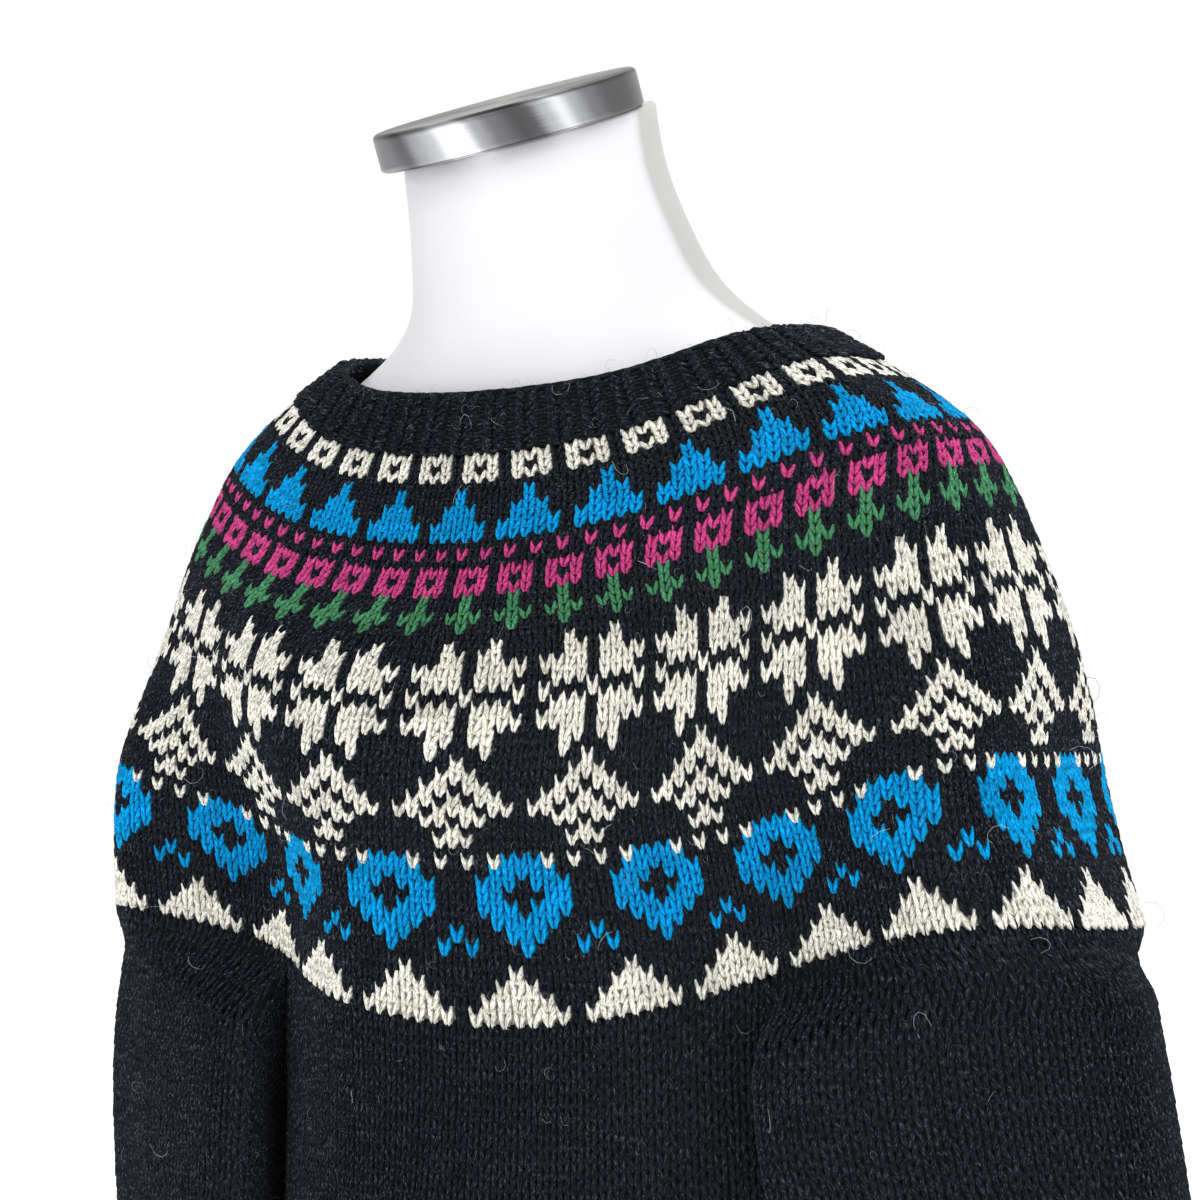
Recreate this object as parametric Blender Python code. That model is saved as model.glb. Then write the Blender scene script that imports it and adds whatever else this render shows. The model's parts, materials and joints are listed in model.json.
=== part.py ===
"""Round-yoke colourwork sweater on a limbless dress form. Metres, +Z up, the front faces -Y."""
import math

import bpy
import numpy as np

# Driving sizes, centimetres unless a name says otherwise
CM = 0.01
WALL = 0.30
SEAM = 0.04
BAND_SEAM = 0.07
RIB_RAISE = 0.16
HEM_TOP = 13.5
HEM_END = 8.6
CUFF_TOP = 9.6
CUFF_END = 4.2
YOKE_ROWS = 52.0
BAND_ROWS = 58.3
ROW_HEIGHT = 0.56

# How finely each cloth is laid out
YOKE_LEVELS = 12
BAND_RIBS = 48
HEM_RIBS = 46
CUFF_RIBS = 15
FRONT_COLUMNS = 14
SIDE_COLUMNS = 13
SLEEVE_OUT_COLUMNS = 21
SLEEVE_IN_COLUMNS = 13
FORM_COLUMNS = 40

# Where the yoke's lower edge passes from body to sleeve, as part of the way round from the centre front
FRONT_CORNER = 0.104
BACK_CORNER = 0.395
CORNER_GAP = 0.0012

# Rings of the yoke: knit row, then the named points of one ring (centre front, three points towards
# the sleeve, the outermost point), and the rise of the centre back over the outermost point
RING_COLUMNS = ("row", "yf", "zf", "x1", "y1", "z1", "x2", "y2", "z2", "x3", "y3", "z3",
                "a", "ys", "zs", "kz")
YOKE_RINGS = (
    (0.0, 10.8, 46.1, 8.2, 10.0, 47.1, 13.9, 6.8, 48.9, 21.1, 7.6, 50.4, 23.9, 1.5, 49.5, -1.5),
    (12.0, 12.0, 52.8, 7.5, 11.3, 53.2, 13.1, 8.4, 54.4, 20.0, 8.8, 56.5, 21.7, 0.9, 56.2, -1.0),
    (21.0, 14.0, 56.9, 8.1, 12.8, 57.3, 13.2, 10.1, 58.6, 19.7, 7.0, 60.3, 21.6, 0.9, 60.6, -0.5),
    (30.0, 14.0, 61.6, 8.6, 12.6, 62.4, 14.9, 9.1, 64.2, 18.8, 4.6, 65.8, 20.0, 1.4, 66.1, 0.0),
    (36.0, 12.6, 64.0, 8.5, 11.3, 64.9, 14.3, 8.1, 66.9, 17.7, 4.0, 68.6, 18.8, 1.3, 69.0, 0.2),
    (44.0, 11.4, 67.0, 7.9, 10.3, 68.0, 12.9, 7.6, 70.0, 15.8, 3.9, 71.2, 16.7, 0.9, 71.5, 0.4),
    (52.0, 10.2, 69.9, 6.7, 9.3, 70.6, 10.6, 7.1, 72.2, 12.7, 3.9, 73.4, 13.3, 0.8, 73.7, 0.5),
    (58.3, 9.4, 72.6, 5.5, 8.7, 73.0, 8.5, 6.8, 74.0, 10.1, 3.8, 74.9, 10.5, 0.5, 75.3, 0.6),
)
BACK_DEPTH = 0.92

# The body's underarm edge between the yoke's corners: x, y, z of the wearer's left side
UNDERARM = ((13.9, -4.6, 45.2), (14.6, 0.4, 43.6), (13.9, 5.2, 45.0))
# Sections of the body: height, half width, depth to the front, depth to the back, squareness
BODY_COLUMNS = ("z", "a", "yf", "yb", "n")
BODY_SECTIONS = (
    (50.0, 13.8, 11.0, 10.4, 2.2),
    (44.0, 14.6, 11.4, 10.8, 2.2),
    (34.0, 15.2, 12.0, 11.4, 2.2),
    (24.0, 16.0, 12.6, 12.0, 2.2),
    (13.5, 16.6, 13.0, 12.4, 2.2),
    (8.0, 16.2, 12.6, 12.0, 2.2),
)
BODY_LEVELS = (0.0, 0.06, 0.14, 0.24, 0.36, 0.50, 0.66, 0.83, 1.0)
# Soft upright folds of the body: how many round, how deep at the hem
BODY_FOLDS = 9
BODY_FOLD_DEPTH = 0.22

# Sections of a hanging sleeve: height, middle x and y, half thickness, half width, and how far the
# front and the back edge lean in round the body
SLEEVE_COLUMNS = ("z", "cx", "cy", "hx", "hy", "front", "back")
LEFT_SLEEVE = (
    (50.0, 19.8, 0.2, 4.9, 9.3, 6.2, 6.0),
    (44.5, 20.5, -0.3, 5.2, 10.1, 7.4, 5.8),
    (36.0, 21.8, -0.4, 5.1, 9.9, 7.2, 4.8),
    (26.0, 22.6, -0.4, 4.6, 8.4, 4.6, 3.0),
    (16.0, 22.8, -0.5, 3.6, 6.6, 2.0, 1.4),
    (9.6, 23.3, -0.6, 3.0, 5.2, 0.7, 0.5),
    (4.2, 23.5, -0.6, 2.5, 4.3, 0.2, 0.2),
)
RIGHT_SLEEVE = (
    (50.0, 19.9, 0.2, 5.0, 9.3, 6.2, 6.0),
    (44.5, 20.4, -0.4, 5.0, 10.0, 7.2, 5.6),
    (36.0, 20.6, -0.3, 4.9, 9.7, 6.6, 4.6),
    (26.0, 21.2, -0.2, 4.4, 8.4, 4.4, 3.0),
    (16.0, 21.8, -0.4, 3.5, 6.6, 2.0, 1.4),
    (9.6, 22.3, -0.5, 3.0, 5.2, 0.7, 0.5),
    (4.2, 22.5, -0.5, 2.5, 4.3, 0.2, 0.2),
)
SLEEVE_LEVELS = (0.0, 0.03, 0.065, 0.11, 0.18, 0.28, 0.40, 0.54, 0.69, 0.85, 1.0)
SLEEVE_FOLDS = 4
SLEEVE_FOLD_DEPTH = 0.30

# Sections of the dress form: height, middle y, half width, depth front, depth back, squareness, tilt
FORM_SECTION_COLUMNS = ("z", "cy", "ax", "yf", "yb", "n", "tilt", "lean")
FORM_SECTIONS = (
    (0.0, 0.0, 14.6, 10.4, 10.4, 2.2, 0.0, 0.0),
    (6.0, 0.0, 14.9, 10.6, 10.6, 2.2, 0.0, 0.0),
    (16.0, 0.0, 15.0, 10.5, 10.6, 2.2, 0.0, 0.0),
    (28.0, 0.0, 12.9, 9.3, 9.2, 2.2, 0.0, 0.0),
    (38.0, 0.0, 12.6, 9.4, 8.8, 2.2, 0.0, 0.0),
    (46.0, 0.0, 12.9, 9.8, 8.7, 2.2, 0.0, 0.0),
    (54.0, 0.0, 14.6, 10.6, 8.9, 2.1, 0.0, 0.0),
    (60.0, 0.0, 17.9, 9.8, 8.6, 2.0, 0.0, 0.0),
    (64.5, 0.0, 19.3, 8.4, 8.2, 2.0, 0.0, 0.0),
    (67.6, 0.1, 18.85, 7.7, 7.7, 2.0, 0.0, 0.0),
    (70.0, 0.2, 17.55, 8.0, 7.5, 2.0, 0.0, 0.0),
    (72.0, 0.3, 14.6, 8.7, 7.4, 2.0, 0.02, 0.0),
    (74.4, 0.3, 10.55, 8.55, 7.1, 2.0, 0.06, 0.0),
    (76.6, -1.2, 7.45, 7.35, 6.8, 2.0, 0.12, 0.02),
    (79.0, -2.75, 6.3, 6.2, 6.1, 2.0, 0.19, 0.05),
    (81.6, -3.95, 5.7, 5.8, 5.8, 2.0, 0.26, 0.08),
    (84.02, -4.55, 5.6, 5.6, 5.6, 2.0, 0.30, 0.10),
)
# The steel cap over the neck: middle of its underside, radius, thickness, tilts, rounding
CAP_Y = -6.0
CAP_Z = 83.78
CAP_RADIUS = 5.8
CAP_THICK = 1.68
CAP_TILT = 0.30
CAP_LEAN = 0.10
CAP_ROUND = 0.25
CAP_COLUMNS = 48

MATERIALS = {
    "wool_charcoal": ((0.035, 0.037, 0.042), 0.95, 0.0),
    "form_white": ((0.86, 0.86, 0.85), 0.35, 0.0),
    "steel_brushed": ((0.62, 0.62, 0.62), 0.32, 1.0),
}


def natural_spline(t, values, at):
    """Natural cubic spline through rows of values at t, read at the places in at."""
    t = np.asarray(t, float)
    values = np.asarray(values, float)
    at = np.atleast_1d(np.asarray(at, float))
    n = len(t)
    h = np.diff(t)
    mat = np.zeros((n, n))
    rhs = np.zeros(values.shape)
    mat[0, 0] = 1.0
    mat[-1, -1] = 1.0
    for i in range(1, n - 1):
        mat[i, i - 1] = h[i - 1]
        mat[i, i] = 2 * (h[i - 1] + h[i])
        mat[i, i + 1] = h[i]
        rhs[i] = 6 * ((values[i + 1] - values[i]) / h[i] - (values[i] - values[i - 1]) / h[i - 1])
    m = np.linalg.solve(mat, rhs)
    k = np.clip(np.searchsorted(t, at, side="right") - 1, 0, n - 2)
    a = ((t[k + 1] - at) / h[k])[:, None]
    b = ((at - t[k]) / h[k])[:, None]
    hk = (h[k] ** 2)[:, None]
    return a * values[k] + b * values[k + 1] + ((a ** 3 - a) * m[k] + (b ** 3 - b) * m[k + 1]) * hk / 6


def closed_spline(points, per=24):
    """Closed smooth curve through the points, as a dense polyline without its repeated end."""
    points = np.asarray(points, float)
    n = len(points)
    pad = 5
    t = np.arange(-pad, n + pad + 1)
    values = points[t % n]
    return natural_spline(t, values, np.arange(n * per) / per)


def arc_lengths(line):
    steps = np.linalg.norm(np.diff(line, axis=0), axis=1)
    return np.concatenate([[0.0], np.cumsum(steps)])


def at_lengths(line, s, wanted):
    return np.stack([np.interp(wanted, s, line[:, c]) for c in range(line.shape[1])], -1)


def even_closed(line, n, start=0.0):
    """n points spaced evenly along a closed polyline."""
    line = np.vstack([line, line[:1]])
    s = arc_lengths(line)
    wanted = (np.arange(n) / n + start) % 1.0 * s[-1]
    return at_lengths(line, s, wanted)


def even_open(line, n):
    """n + 1 points spaced evenly along an open polyline, both ends kept."""
    s = arc_lengths(line)
    return at_lengths(line, s, np.linspace(0.0, s[-1], n + 1))


RING_T = [r[0] for r in YOKE_RINGS]
RING_V = [r[1:] for r in YOKE_RINGS]


def ring_points(row):
    """The sixteen named points of the yoke's ring at a knit row, round from the centre front."""
    r = dict(zip(RING_COLUMNS[1:], natural_spline(RING_T, RING_V, row)[0]))
    half = [
        (0.0, -r["yf"], r["zf"]),
        (r["x1"], -r["y1"], r["z1"]),
        (r["x2"], -r["y2"], r["z2"]),
        (r["x3"], -r["y3"], r["z3"]),
        (r["a"], r["ys"], r["zs"]),
        (r["x3"], r["y3"] * BACK_DEPTH + r["ys"] * 0.5, r["zs"] + 0.25 * r["kz"]),
        (r["x2"], r["y2"] * BACK_DEPTH + r["ys"] * 0.3, r["zs"] + 0.6 * r["kz"]),
        (r["x1"], r["y1"] * BACK_DEPTH, r["zs"] + 0.9 * r["kz"]),
        (0.0, r["yf"] * BACK_DEPTH, r["zs"] + r["kz"]),
    ]
    other = [(-x, y, z) for x, y, z in half[7:0:-1]]
    return np.array(half + other)


def yoke_ring(row, n, start=0.0):
    return even_closed(closed_spline(ring_points(row)), n, start)


def ring_at(row, parts):
    """Points of the yoke's ring at the given parts of the way round."""
    dense = closed_spline(ring_points(row))
    line = np.vstack([dense, dense[:1]])
    s = arc_lengths(line)
    return at_lengths(line, s, (np.asarray(parts) % 1.0) * s[-1])


def edge_parts():
    """The yoke's columns: front arc, left sleeve, back arc, right sleeve."""
    g = CORNER_GAP
    front = np.linspace(-FRONT_CORNER + g, FRONT_CORNER - g, FRONT_COLUMNS + 1)
    sleeve = np.linspace(FRONT_CORNER + g, BACK_CORNER - g, SLEEVE_OUT_COLUMNS + 1)
    back = np.linspace(BACK_CORNER + g, 1 - BACK_CORNER - g, FRONT_COLUMNS + 1)
    return np.concatenate([front, sleeve, back, 1 - sleeve[::-1]]) % 1.0


DROP = np.array([0.0, 0.0, SEAM])
SLEEVE_FIRST = FRONT_COLUMNS + 1
BACK_FIRST = SLEEVE_FIRST + SLEEVE_OUT_COLUMNS + 1


def underarm_line(p, q, out):
    """The underarm edge of the wearer's left side from p to q, moved out in x."""
    mids = [(x + out, y, z) for x, y, z in UNDERARM]
    pts = np.array([p] + mids + [q])
    t = arc_lengths(pts)
    return natural_spline(t, pts, np.linspace(0.0, t[-1], 200))


def mirrored(line):
    return line[::-1] * np.array([-1.0, 1.0, 1.0])


def body_edge():
    """The body's top edge: front arc, left underarm, back arc, right underarm."""
    ring = ring_at(0.0, edge_parts()) - DROP
    front = ring[:SLEEVE_FIRST]
    back = ring[BACK_FIRST:BACK_FIRST + FRONT_COLUMNS + 1]
    left = even_open(underarm_line(front[-1], back[0], 0.0), SIDE_COLUMNS)
    right = mirrored(left)
    return np.vstack([front[:-1], left[:-1], back[:-1], right[:-1]])


def sleeve_edge():
    """The wearer's left sleeve's top edge: outer arc from the front corner, then the underarm."""
    outer = (ring_at(0.0, edge_parts()) - DROP)[SLEEVE_FIRST:BACK_FIRST]
    inner = even_open(underarm_line(outer[0], outer[-1], 0.07), SLEEVE_IN_COLUMNS)[::-1]
    return np.vstack([outer[:-1], inner[:-1]])


def section_table(rows, z):
    z = np.atleast_1d(z)
    table = np.array(rows[::-1])
    return natural_spline(table[:, 0], table[:, 1:], np.clip(z, table[0, 0], table[-1, 0]))


def fractions(edge):
    """How far round each column stands in plan."""
    plan = edge[:, :2]
    s = arc_lengths(np.vstack([plan, plan[:1]]))
    return s[:-1] / s[-1]


def body_section(z, f, start):
    """The point of the body's section at height z, a part f of the way round from start."""
    a, yf, yb, n = section_table(BODY_SECTIONS, z)[0]
    w = np.linspace(0.0, 2 * math.pi, 361)[:-1] - math.pi / 2
    c = np.cos(w)
    s = np.sin(w)
    x = a * np.sign(c) * np.abs(c) ** (2 / n)
    y = np.where(s < 0, yf, yb) * np.sign(s) * np.abs(s) ** (2 / n)
    line = np.stack([x, y], -1)
    line = np.vstack([line, line[:1]])
    arc = arc_lengths(line)
    return at_lengths(line, arc, np.atleast_1d((f + start) % 1.0) * arc[-1])[0]


def sleeve_section(rows, z, f, start):
    """The point of a sleeve's section: a bent oval leaning in round the body."""
    cx, cy, hx, hy, front, back = section_table(rows, z)[0]
    w = np.linspace(0.0, 2 * math.pi, 361)[:-1] - math.pi / 2
    c = np.cos(w)
    s = np.sin(w)
    lean = np.where(s < 0, front, back)
    x = cx + hx * c - lean * s ** 2
    y = cy + hy * s
    line = np.stack([x, y], -1)
    line = np.vstack([line, line[:1]])
    arc = arc_lengths(line)
    return at_lengths(line, arc, np.atleast_1d((f + start) % 1.0) * arc[-1])[0]


def smooth(t):
    t = min(max(t, 0.0), 1.0)
    return t * t * (3 - 2 * t)


def grid_normals(grid):
    """Outward normals of a grid whose columns go round anticlockwise seen from above, rows downwards."""
    across = np.roll(grid, -1, axis=1) - np.roll(grid, 1, axis=1)
    down = np.empty_like(grid)
    down[1:-1] = grid[2:] - grid[:-2]
    down[0] = grid[1] - grid[0]
    down[-1] = grid[-1] - grid[-2]
    n = np.cross(down, across)
    return n / (np.linalg.norm(n, axis=2, keepdims=True) + 1e-12)


def wall_mesh(outer, inner):
    """Closed wall between two grids of like columns, joined along both edges."""
    ro, n = outer.shape[:2]
    ri = inner.shape[0]
    verts = np.vstack([outer.reshape(-1, 3), inner.reshape(-1, 3)])
    faces = []
    for r in range(ro - 1):
        for c in range(n):
            d = (c + 1) % n
            faces.append((r * n + c, (r + 1) * n + c, (r + 1) * n + d, r * n + d))
    base = ro * n
    for r in range(ri - 1):
        for c in range(n):
            d = (c + 1) % n
            faces.append((base + r * n + c, base + r * n + d, base + (r + 1) * n + d, base + (r + 1) * n + c))
    low_o = (ro - 1) * n
    low_i = base + (ri - 1) * n
    for c in range(n):
        d = (c + 1) % n
        faces.append((c, d, base + d, base + c))
        faces.append((low_o + c, low_i + c, low_i + d, low_o + d))
    return verts, faces


def signed_volume(verts, faces):
    total = 0.0
    for f in faces:
        a = verts[f[0]]
        for i in range(1, len(f) - 1):
            total += float(np.dot(a, np.cross(verts[f[i]], verts[f[i + 1]])))
    return total / 6.0


def material(name):
    mat = bpy.data.materials.get(name)
    if mat is None:
        colour, rough, metal = MATERIALS[name]
        mat = bpy.data.materials.new(name)
        mat.use_nodes = True
        bsdf = mat.node_tree.nodes["Principled BSDF"]
        bsdf.inputs["Base Color"].default_value = (*colour, 1.0)
        bsdf.inputs["Roughness"].default_value = rough
        bsdf.inputs["Metallic"].default_value = metal
        mat.diffuse_color = (*colour, 1.0)
    return mat


def add_solid(name, verts, faces, mat):
    if signed_volume(verts, faces) < 0:
        faces = [tuple(reversed(f)) for f in faces]
    mesh = bpy.data.meshes.new(name)
    mesh.from_pydata([tuple(float(c) * CM for c in v) for v in verts], [], faces)
    mesh.validate()
    mesh.update()
    for poly in mesh.polygons:
        poly.use_smooth = True
    obj = bpy.data.objects.new(name, mesh)
    obj.data.materials.append(material(mat))
    bpy.context.scene.collection.objects.link(obj)
    return obj


def yoke_walls():
    parts = edge_parts()
    outer = np.stack([ring_at(r, parts) for r in np.linspace(YOKE_ROWS, 0.0, YOKE_LEVELS + 1)])
    return outer, outer - WALL * grid_normals(outer)


def build_yoke():
    add_solid("yoke", *wall_mesh(*yoke_walls()), "wool_charcoal")


def ribbed(plain, ribs, raise_by):
    """Outer points of a plain grid with upright ribs raised, four columns to a rib."""
    normals = grid_normals(plain)
    height = np.array([0.0, 0.15, 1.0, 0.85])
    n = plain.shape[1]
    prof = np.tile(height, n // 4)[None, :, None] * raise_by
    return plain + normals * prof


def build_neckband():
    gap = BAND_SEAM / ROW_HEIGHT
    rows = np.linspace(BAND_ROWS, YOKE_ROWS + gap, 4)
    plain = np.stack([yoke_ring(r, BAND_RIBS * 4) for r in rows])
    normals = grid_normals(plain)
    inner = (plain - WALL * normals)[[0, 3]]
    outer = ribbed(plain, BAND_RIBS, RIB_RAISE)
    add_solid("neckband", *wall_mesh(outer, inner), "wool_charcoal")


def fold_wave(f, count, phase):
    return math.sin(2 * math.pi * count * f + phase) + 0.35 * math.sin(2 * math.pi * (2 * count + 1) * f)


def body_grid():
    edge = body_edge()
    f = fractions(edge)
    centre = FRONT_COLUMNS // 2
    start = -f[centre]
    grid = []
    for t in BODY_LEVELS:
        row = []
        for c, p in enumerate(edge):
            z = p[2] * (1 - t) + HEM_TOP * t
            w = smooth(t / 0.3)
            sec = body_section(z, f[c], start)
            sec = sec * (1 + BODY_FOLD_DEPTH * t * fold_wave(f[c], BODY_FOLDS, 0.6) / np.linalg.norm(sec))
            xy = p[:2] * (1 - w) + sec * w
            row.append((xy[0], xy[1], z))
        grid.append(row)
    return np.array(grid)


def level_ends(plain, outer, inner):
    """Brings both ends of a wall to the level of its plain rows."""
    for k in (0, -1):
        outer[k, :, 2] = plain[k, :, 2]
        inner[k, :, 2] = plain[k, :, 2]
    return outer, inner


def build_body():
    outer = body_grid()
    inner = outer - WALL * grid_normals(outer)
    inner[-1, :, 2] = outer[-1, :, 2]
    # The top edge meets the yoke's own inner edge
    edge = yoke_walls()[1][-1] - DROP
    first = FRONT_COLUMNS + SIDE_COLUMNS
    inner[0, :SLEEVE_FIRST] = edge[:SLEEVE_FIRST]
    inner[0, first:first + FRONT_COLUMNS + 1] = edge[BACK_FIRST:BACK_FIRST + FRONT_COLUMNS + 1]
    add_solid("body", *wall_mesh(outer, inner), "wool_charcoal")
    # Hem rib below it, from the body's last row
    n = HEM_RIBS * 4
    top = even_closed(outer[-1], n)
    zs = (HEM_TOP - SEAM, (HEM_TOP + HEM_END) / 2, HEM_END)
    shrink = (1.0, 0.985, 0.975)
    plain = np.stack([np.stack([top[:, 0] * k, top[:, 1] * k, np.full(n, z)], -1) for z, k in zip(zs, shrink)])
    normals = grid_normals(plain)
    inner = (plain - WALL * normals)[[0, 2]]
    outer = ribbed(plain, HEM_RIBS, RIB_RAISE)[[0, 2]]
    outer, inner = level_ends(plain, outer, inner)
    add_solid("hem_rib", *wall_mesh(outer, inner), "wool_charcoal")


def sleeve_grid(rows):
    edge = sleeve_edge()
    f = fractions(edge)
    # Matches the front corner of the edge to the sleeve's front tip
    start = 0.985
    grid = []
    for t in SLEEVE_LEVELS:
        row = []
        for c, p in enumerate(edge):
            z = p[2] * (1 - t) + CUFF_TOP * t
            w = smooth(t / 0.08)
            sec = sleeve_section(rows, z, f[c], start)
            mid = section_table(rows, z)[0][:2]
            rel = sec - mid
            amp = SLEEVE_FOLD_DEPTH * math.sin(math.pi * min(t * 1.05, 1.0)) * fold_wave(f[c], SLEEVE_FOLDS, 1.2)
            if f[c] > 0.62:
                amp = 0.0
            sec = mid + rel * (1 + amp / np.linalg.norm(rel))
            xy = p[:2] * (1 - w) + sec * w
            row.append((xy[0], xy[1], z))
        grid.append(row)
    return np.array(grid)


def build_sleeve(side, rows, flip):
    outer = sleeve_grid(rows)
    inner = outer - WALL * grid_normals(outer)
    inner[-1, :, 2] = outer[-1, :, 2]
    inner[0, :SLEEVE_OUT_COLUMNS + 1] = (yoke_walls()[1][-1] - DROP)[SLEEVE_FIRST:BACK_FIRST]
    n = CUFF_RIBS * 4
    top = even_closed(outer[-1], n)
    end = np.array([np.append(sleeve_section(rows, CUFF_END, k / n, 0.985), CUFF_END) for k in range(n)])
    top[:, 2] = CUFF_TOP - SEAM
    mid = top * 0.45 + end * 0.55
    mid[:, 2] = (CUFF_TOP + CUFF_END) / 2
    plain = np.stack([top, mid, end])
    normals = grid_normals(plain)
    cuff_in = (plain - WALL * normals)[[0, 2]]
    cuff_out = ribbed(plain, CUFF_RIBS, RIB_RAISE)[[0, 2]]
    cuff_out, cuff_in = level_ends(plain, cuff_out, cuff_in)
    for name, o, i in (("sleeve_" + side, outer, inner), ("cuff_" + side, cuff_out, cuff_in)):
        if flip:
            o = o * np.array([-1.0, 1.0, 1.0])
            i = i * np.array([-1.0, 1.0, 1.0])
        add_solid(name, *wall_mesh(o, i), "wool_charcoal")


def form_ring(z, cy, ax, yf, yb, n, tilt, lean, count):
    w = np.linspace(0.0, 2 * math.pi, count + 1)[:-1] - math.pi / 2
    c = np.cos(w)
    s = np.sin(w)
    x = ax * np.sign(c) * np.abs(c) ** (2 / n)
    y = np.where(s < 0, yf, yb) * np.sign(s) * np.abs(s) ** (2 / n)
    return np.stack([x, cy + y * math.cos(tilt), z + y * math.sin(tilt) + x * math.sin(lean)], -1)


def capped_mesh(rings):
    """Solid from rings, bottom first, closed with a point at each end's middle."""
    n = rings.shape[1]
    k = rings.shape[0]
    verts = np.vstack([rings.reshape(-1, 3), rings[0].mean(axis=0)[None], rings[-1].mean(axis=0)[None]])
    faces = []
    for r in range(k - 1):
        for c in range(n):
            d = (c + 1) % n
            faces.append((r * n + c, r * n + d, (r + 1) * n + d, (r + 1) * n + c))
    low = k * n
    top = low + 1
    for c in range(n):
        d = (c + 1) % n
        faces.append((low, d, c))
        faces.append((top, (k - 1) * n + c, (k - 1) * n + d))
    return verts, faces


def build_form():
    t = [r[0] for r in FORM_SECTIONS]
    v = [r[1:] for r in FORM_SECTIONS]
    heights = sorted(set(t + [22.0, 33.0, 42.0, 50.0, 57.0, 62.5, 66.2, 68.9, 71.0]))
    rings = []
    for z in heights:
        rings.append(form_ring(z, *natural_spline(t, v, z)[0], FORM_COLUMNS))
    last = FORM_SECTIONS[-1]
    # A small rounding under the cap
    rings.append(form_ring(last[0] + 0.16, last[1], last[2] - 0.12, last[3] - 0.12, last[4] - 0.12, *last[5:],
                           FORM_COLUMNS))
    add_solid("dress_form", *capped_mesh(np.array(rings)), "form_white")


def build_cap():
    u = np.array([0.0, math.cos(CAP_TILT), math.sin(CAP_TILT)])
    x = np.array([math.cos(CAP_LEAN), 0.0, math.sin(CAP_LEAN)])
    n = np.cross(x, u)
    n = n / np.linalg.norm(n)
    w = np.linspace(0.0, 2 * math.pi, CAP_COLUMNS + 1)[:-1]
    r = CAP_ROUND
    profile = ((CAP_RADIUS - r * 0.4, 0.0), (CAP_RADIUS, r * 0.5), (CAP_RADIUS, CAP_THICK - r),
               (CAP_RADIUS - r * 0.3, CAP_THICK - r * 0.3), (CAP_RADIUS - r, CAP_THICK))
    rings = []
    for radius, h in profile:
        circle = radius * (np.cos(w)[:, None] * x + np.sin(w)[:, None] * u)
        rings.append(np.array([0.0, CAP_Y, CAP_Z]) + circle + n * h)
    add_solid("neck_cap", *capped_mesh(np.array(rings)), "steel_brushed")


def main():
    for obj in list(bpy.data.objects):
        bpy.data.objects.remove(obj, do_unlink=True)
    build_form()
    build_cap()
    build_yoke()
    build_neckband()
    build_body()
    build_sleeve("left", LEFT_SLEEVE, False)
    build_sleeve("right", RIGHT_SLEEVE, True)


main()
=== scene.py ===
"""Round-yoke sweater on a limbless dress form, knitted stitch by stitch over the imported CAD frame."""
import json
import math

import bpy
import numpy as np
from bpy.props import FloatProperty, FloatVectorProperty, IntProperty, PointerProperty
from mathutils import Matrix, Vector

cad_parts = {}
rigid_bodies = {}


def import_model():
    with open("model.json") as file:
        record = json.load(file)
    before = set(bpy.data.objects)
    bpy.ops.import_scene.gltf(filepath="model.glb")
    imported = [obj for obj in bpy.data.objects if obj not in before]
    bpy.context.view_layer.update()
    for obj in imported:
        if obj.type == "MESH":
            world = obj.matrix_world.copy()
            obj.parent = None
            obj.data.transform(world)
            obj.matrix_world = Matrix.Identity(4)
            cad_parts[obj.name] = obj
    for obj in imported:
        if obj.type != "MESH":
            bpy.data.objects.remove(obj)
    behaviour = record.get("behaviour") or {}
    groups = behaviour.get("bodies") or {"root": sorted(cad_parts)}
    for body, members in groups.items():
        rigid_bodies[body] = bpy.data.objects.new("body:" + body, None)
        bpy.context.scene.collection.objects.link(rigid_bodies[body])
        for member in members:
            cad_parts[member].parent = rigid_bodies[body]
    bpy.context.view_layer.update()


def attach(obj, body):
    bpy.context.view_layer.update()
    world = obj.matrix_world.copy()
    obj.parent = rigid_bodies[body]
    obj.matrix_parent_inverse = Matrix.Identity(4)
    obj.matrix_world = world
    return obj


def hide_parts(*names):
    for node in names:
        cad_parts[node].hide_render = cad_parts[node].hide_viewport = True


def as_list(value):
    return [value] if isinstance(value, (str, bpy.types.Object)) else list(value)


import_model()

bl_info = {
    "name": "Round-yoke sweater",
    "version": (1, 0, 0),
    "blender": (4, 5, 0),
    "location": "View3D > Sidebar > Sweater",
    "description": "Knits a round-yoke colourwork sweater on a limbless dress form",
    "category": "Add Mesh",
}

# Garment sizes, centimetres, as in the part's own source
CM = 0.01
WALL = 0.30
SEAM = 0.04
BAND_SEAM = 0.07
RIB_RAISE = 0.16
HEM_TOP = 13.5
HEM_END = 8.6
CUFF_TOP = 9.6
CUFF_END = 4.2
YOKE_ROWS = 52
BAND_ROWS = 58.3
ROW_HEIGHT = 0.56
BAND_RIBS = 48
HEM_RIBS = 46
CUFF_RIBS = 15
FRONT_CORNER = 0.104
BACK_CORNER = 0.395
CORNER_GAP = 0.0012
BACK_DEPTH = 0.92

# Stitches round each stretch of cloth
FRONT_STITCHES = 42
SIDE_STITCHES = 20
BODY_ROWS = 58
SLEEVE_ROWS = 71
STITCH_WIDTH = 0.64
# Rows from which the body's and the sleeves' stitches are plainer, with fewer triangles
BODY_PLAIN = 24
SLEEVE_PLAIN = 27
YOKE_HALF = 24
RIB_COLUMNS = 8
# How deep the dark ground lies under the cloth's face, and how far the stitches stand over a rib's ground
GROUND_DEPTH = 0.06
RIB_SHOWN = RIB_RAISE - 0.07
RIB_LIFT = 0.13
PURL_WIDTH = 0.36
KNIT_PLACE = 0.625
PURL_PLACE = 0.125
MIRROR = np.array([-1.0, 1.0, 1.0])
# Painted shade between the stitches: brightness of the ground against the yarn
GROUND_PAINTED_SHADE = 0.4

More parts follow.
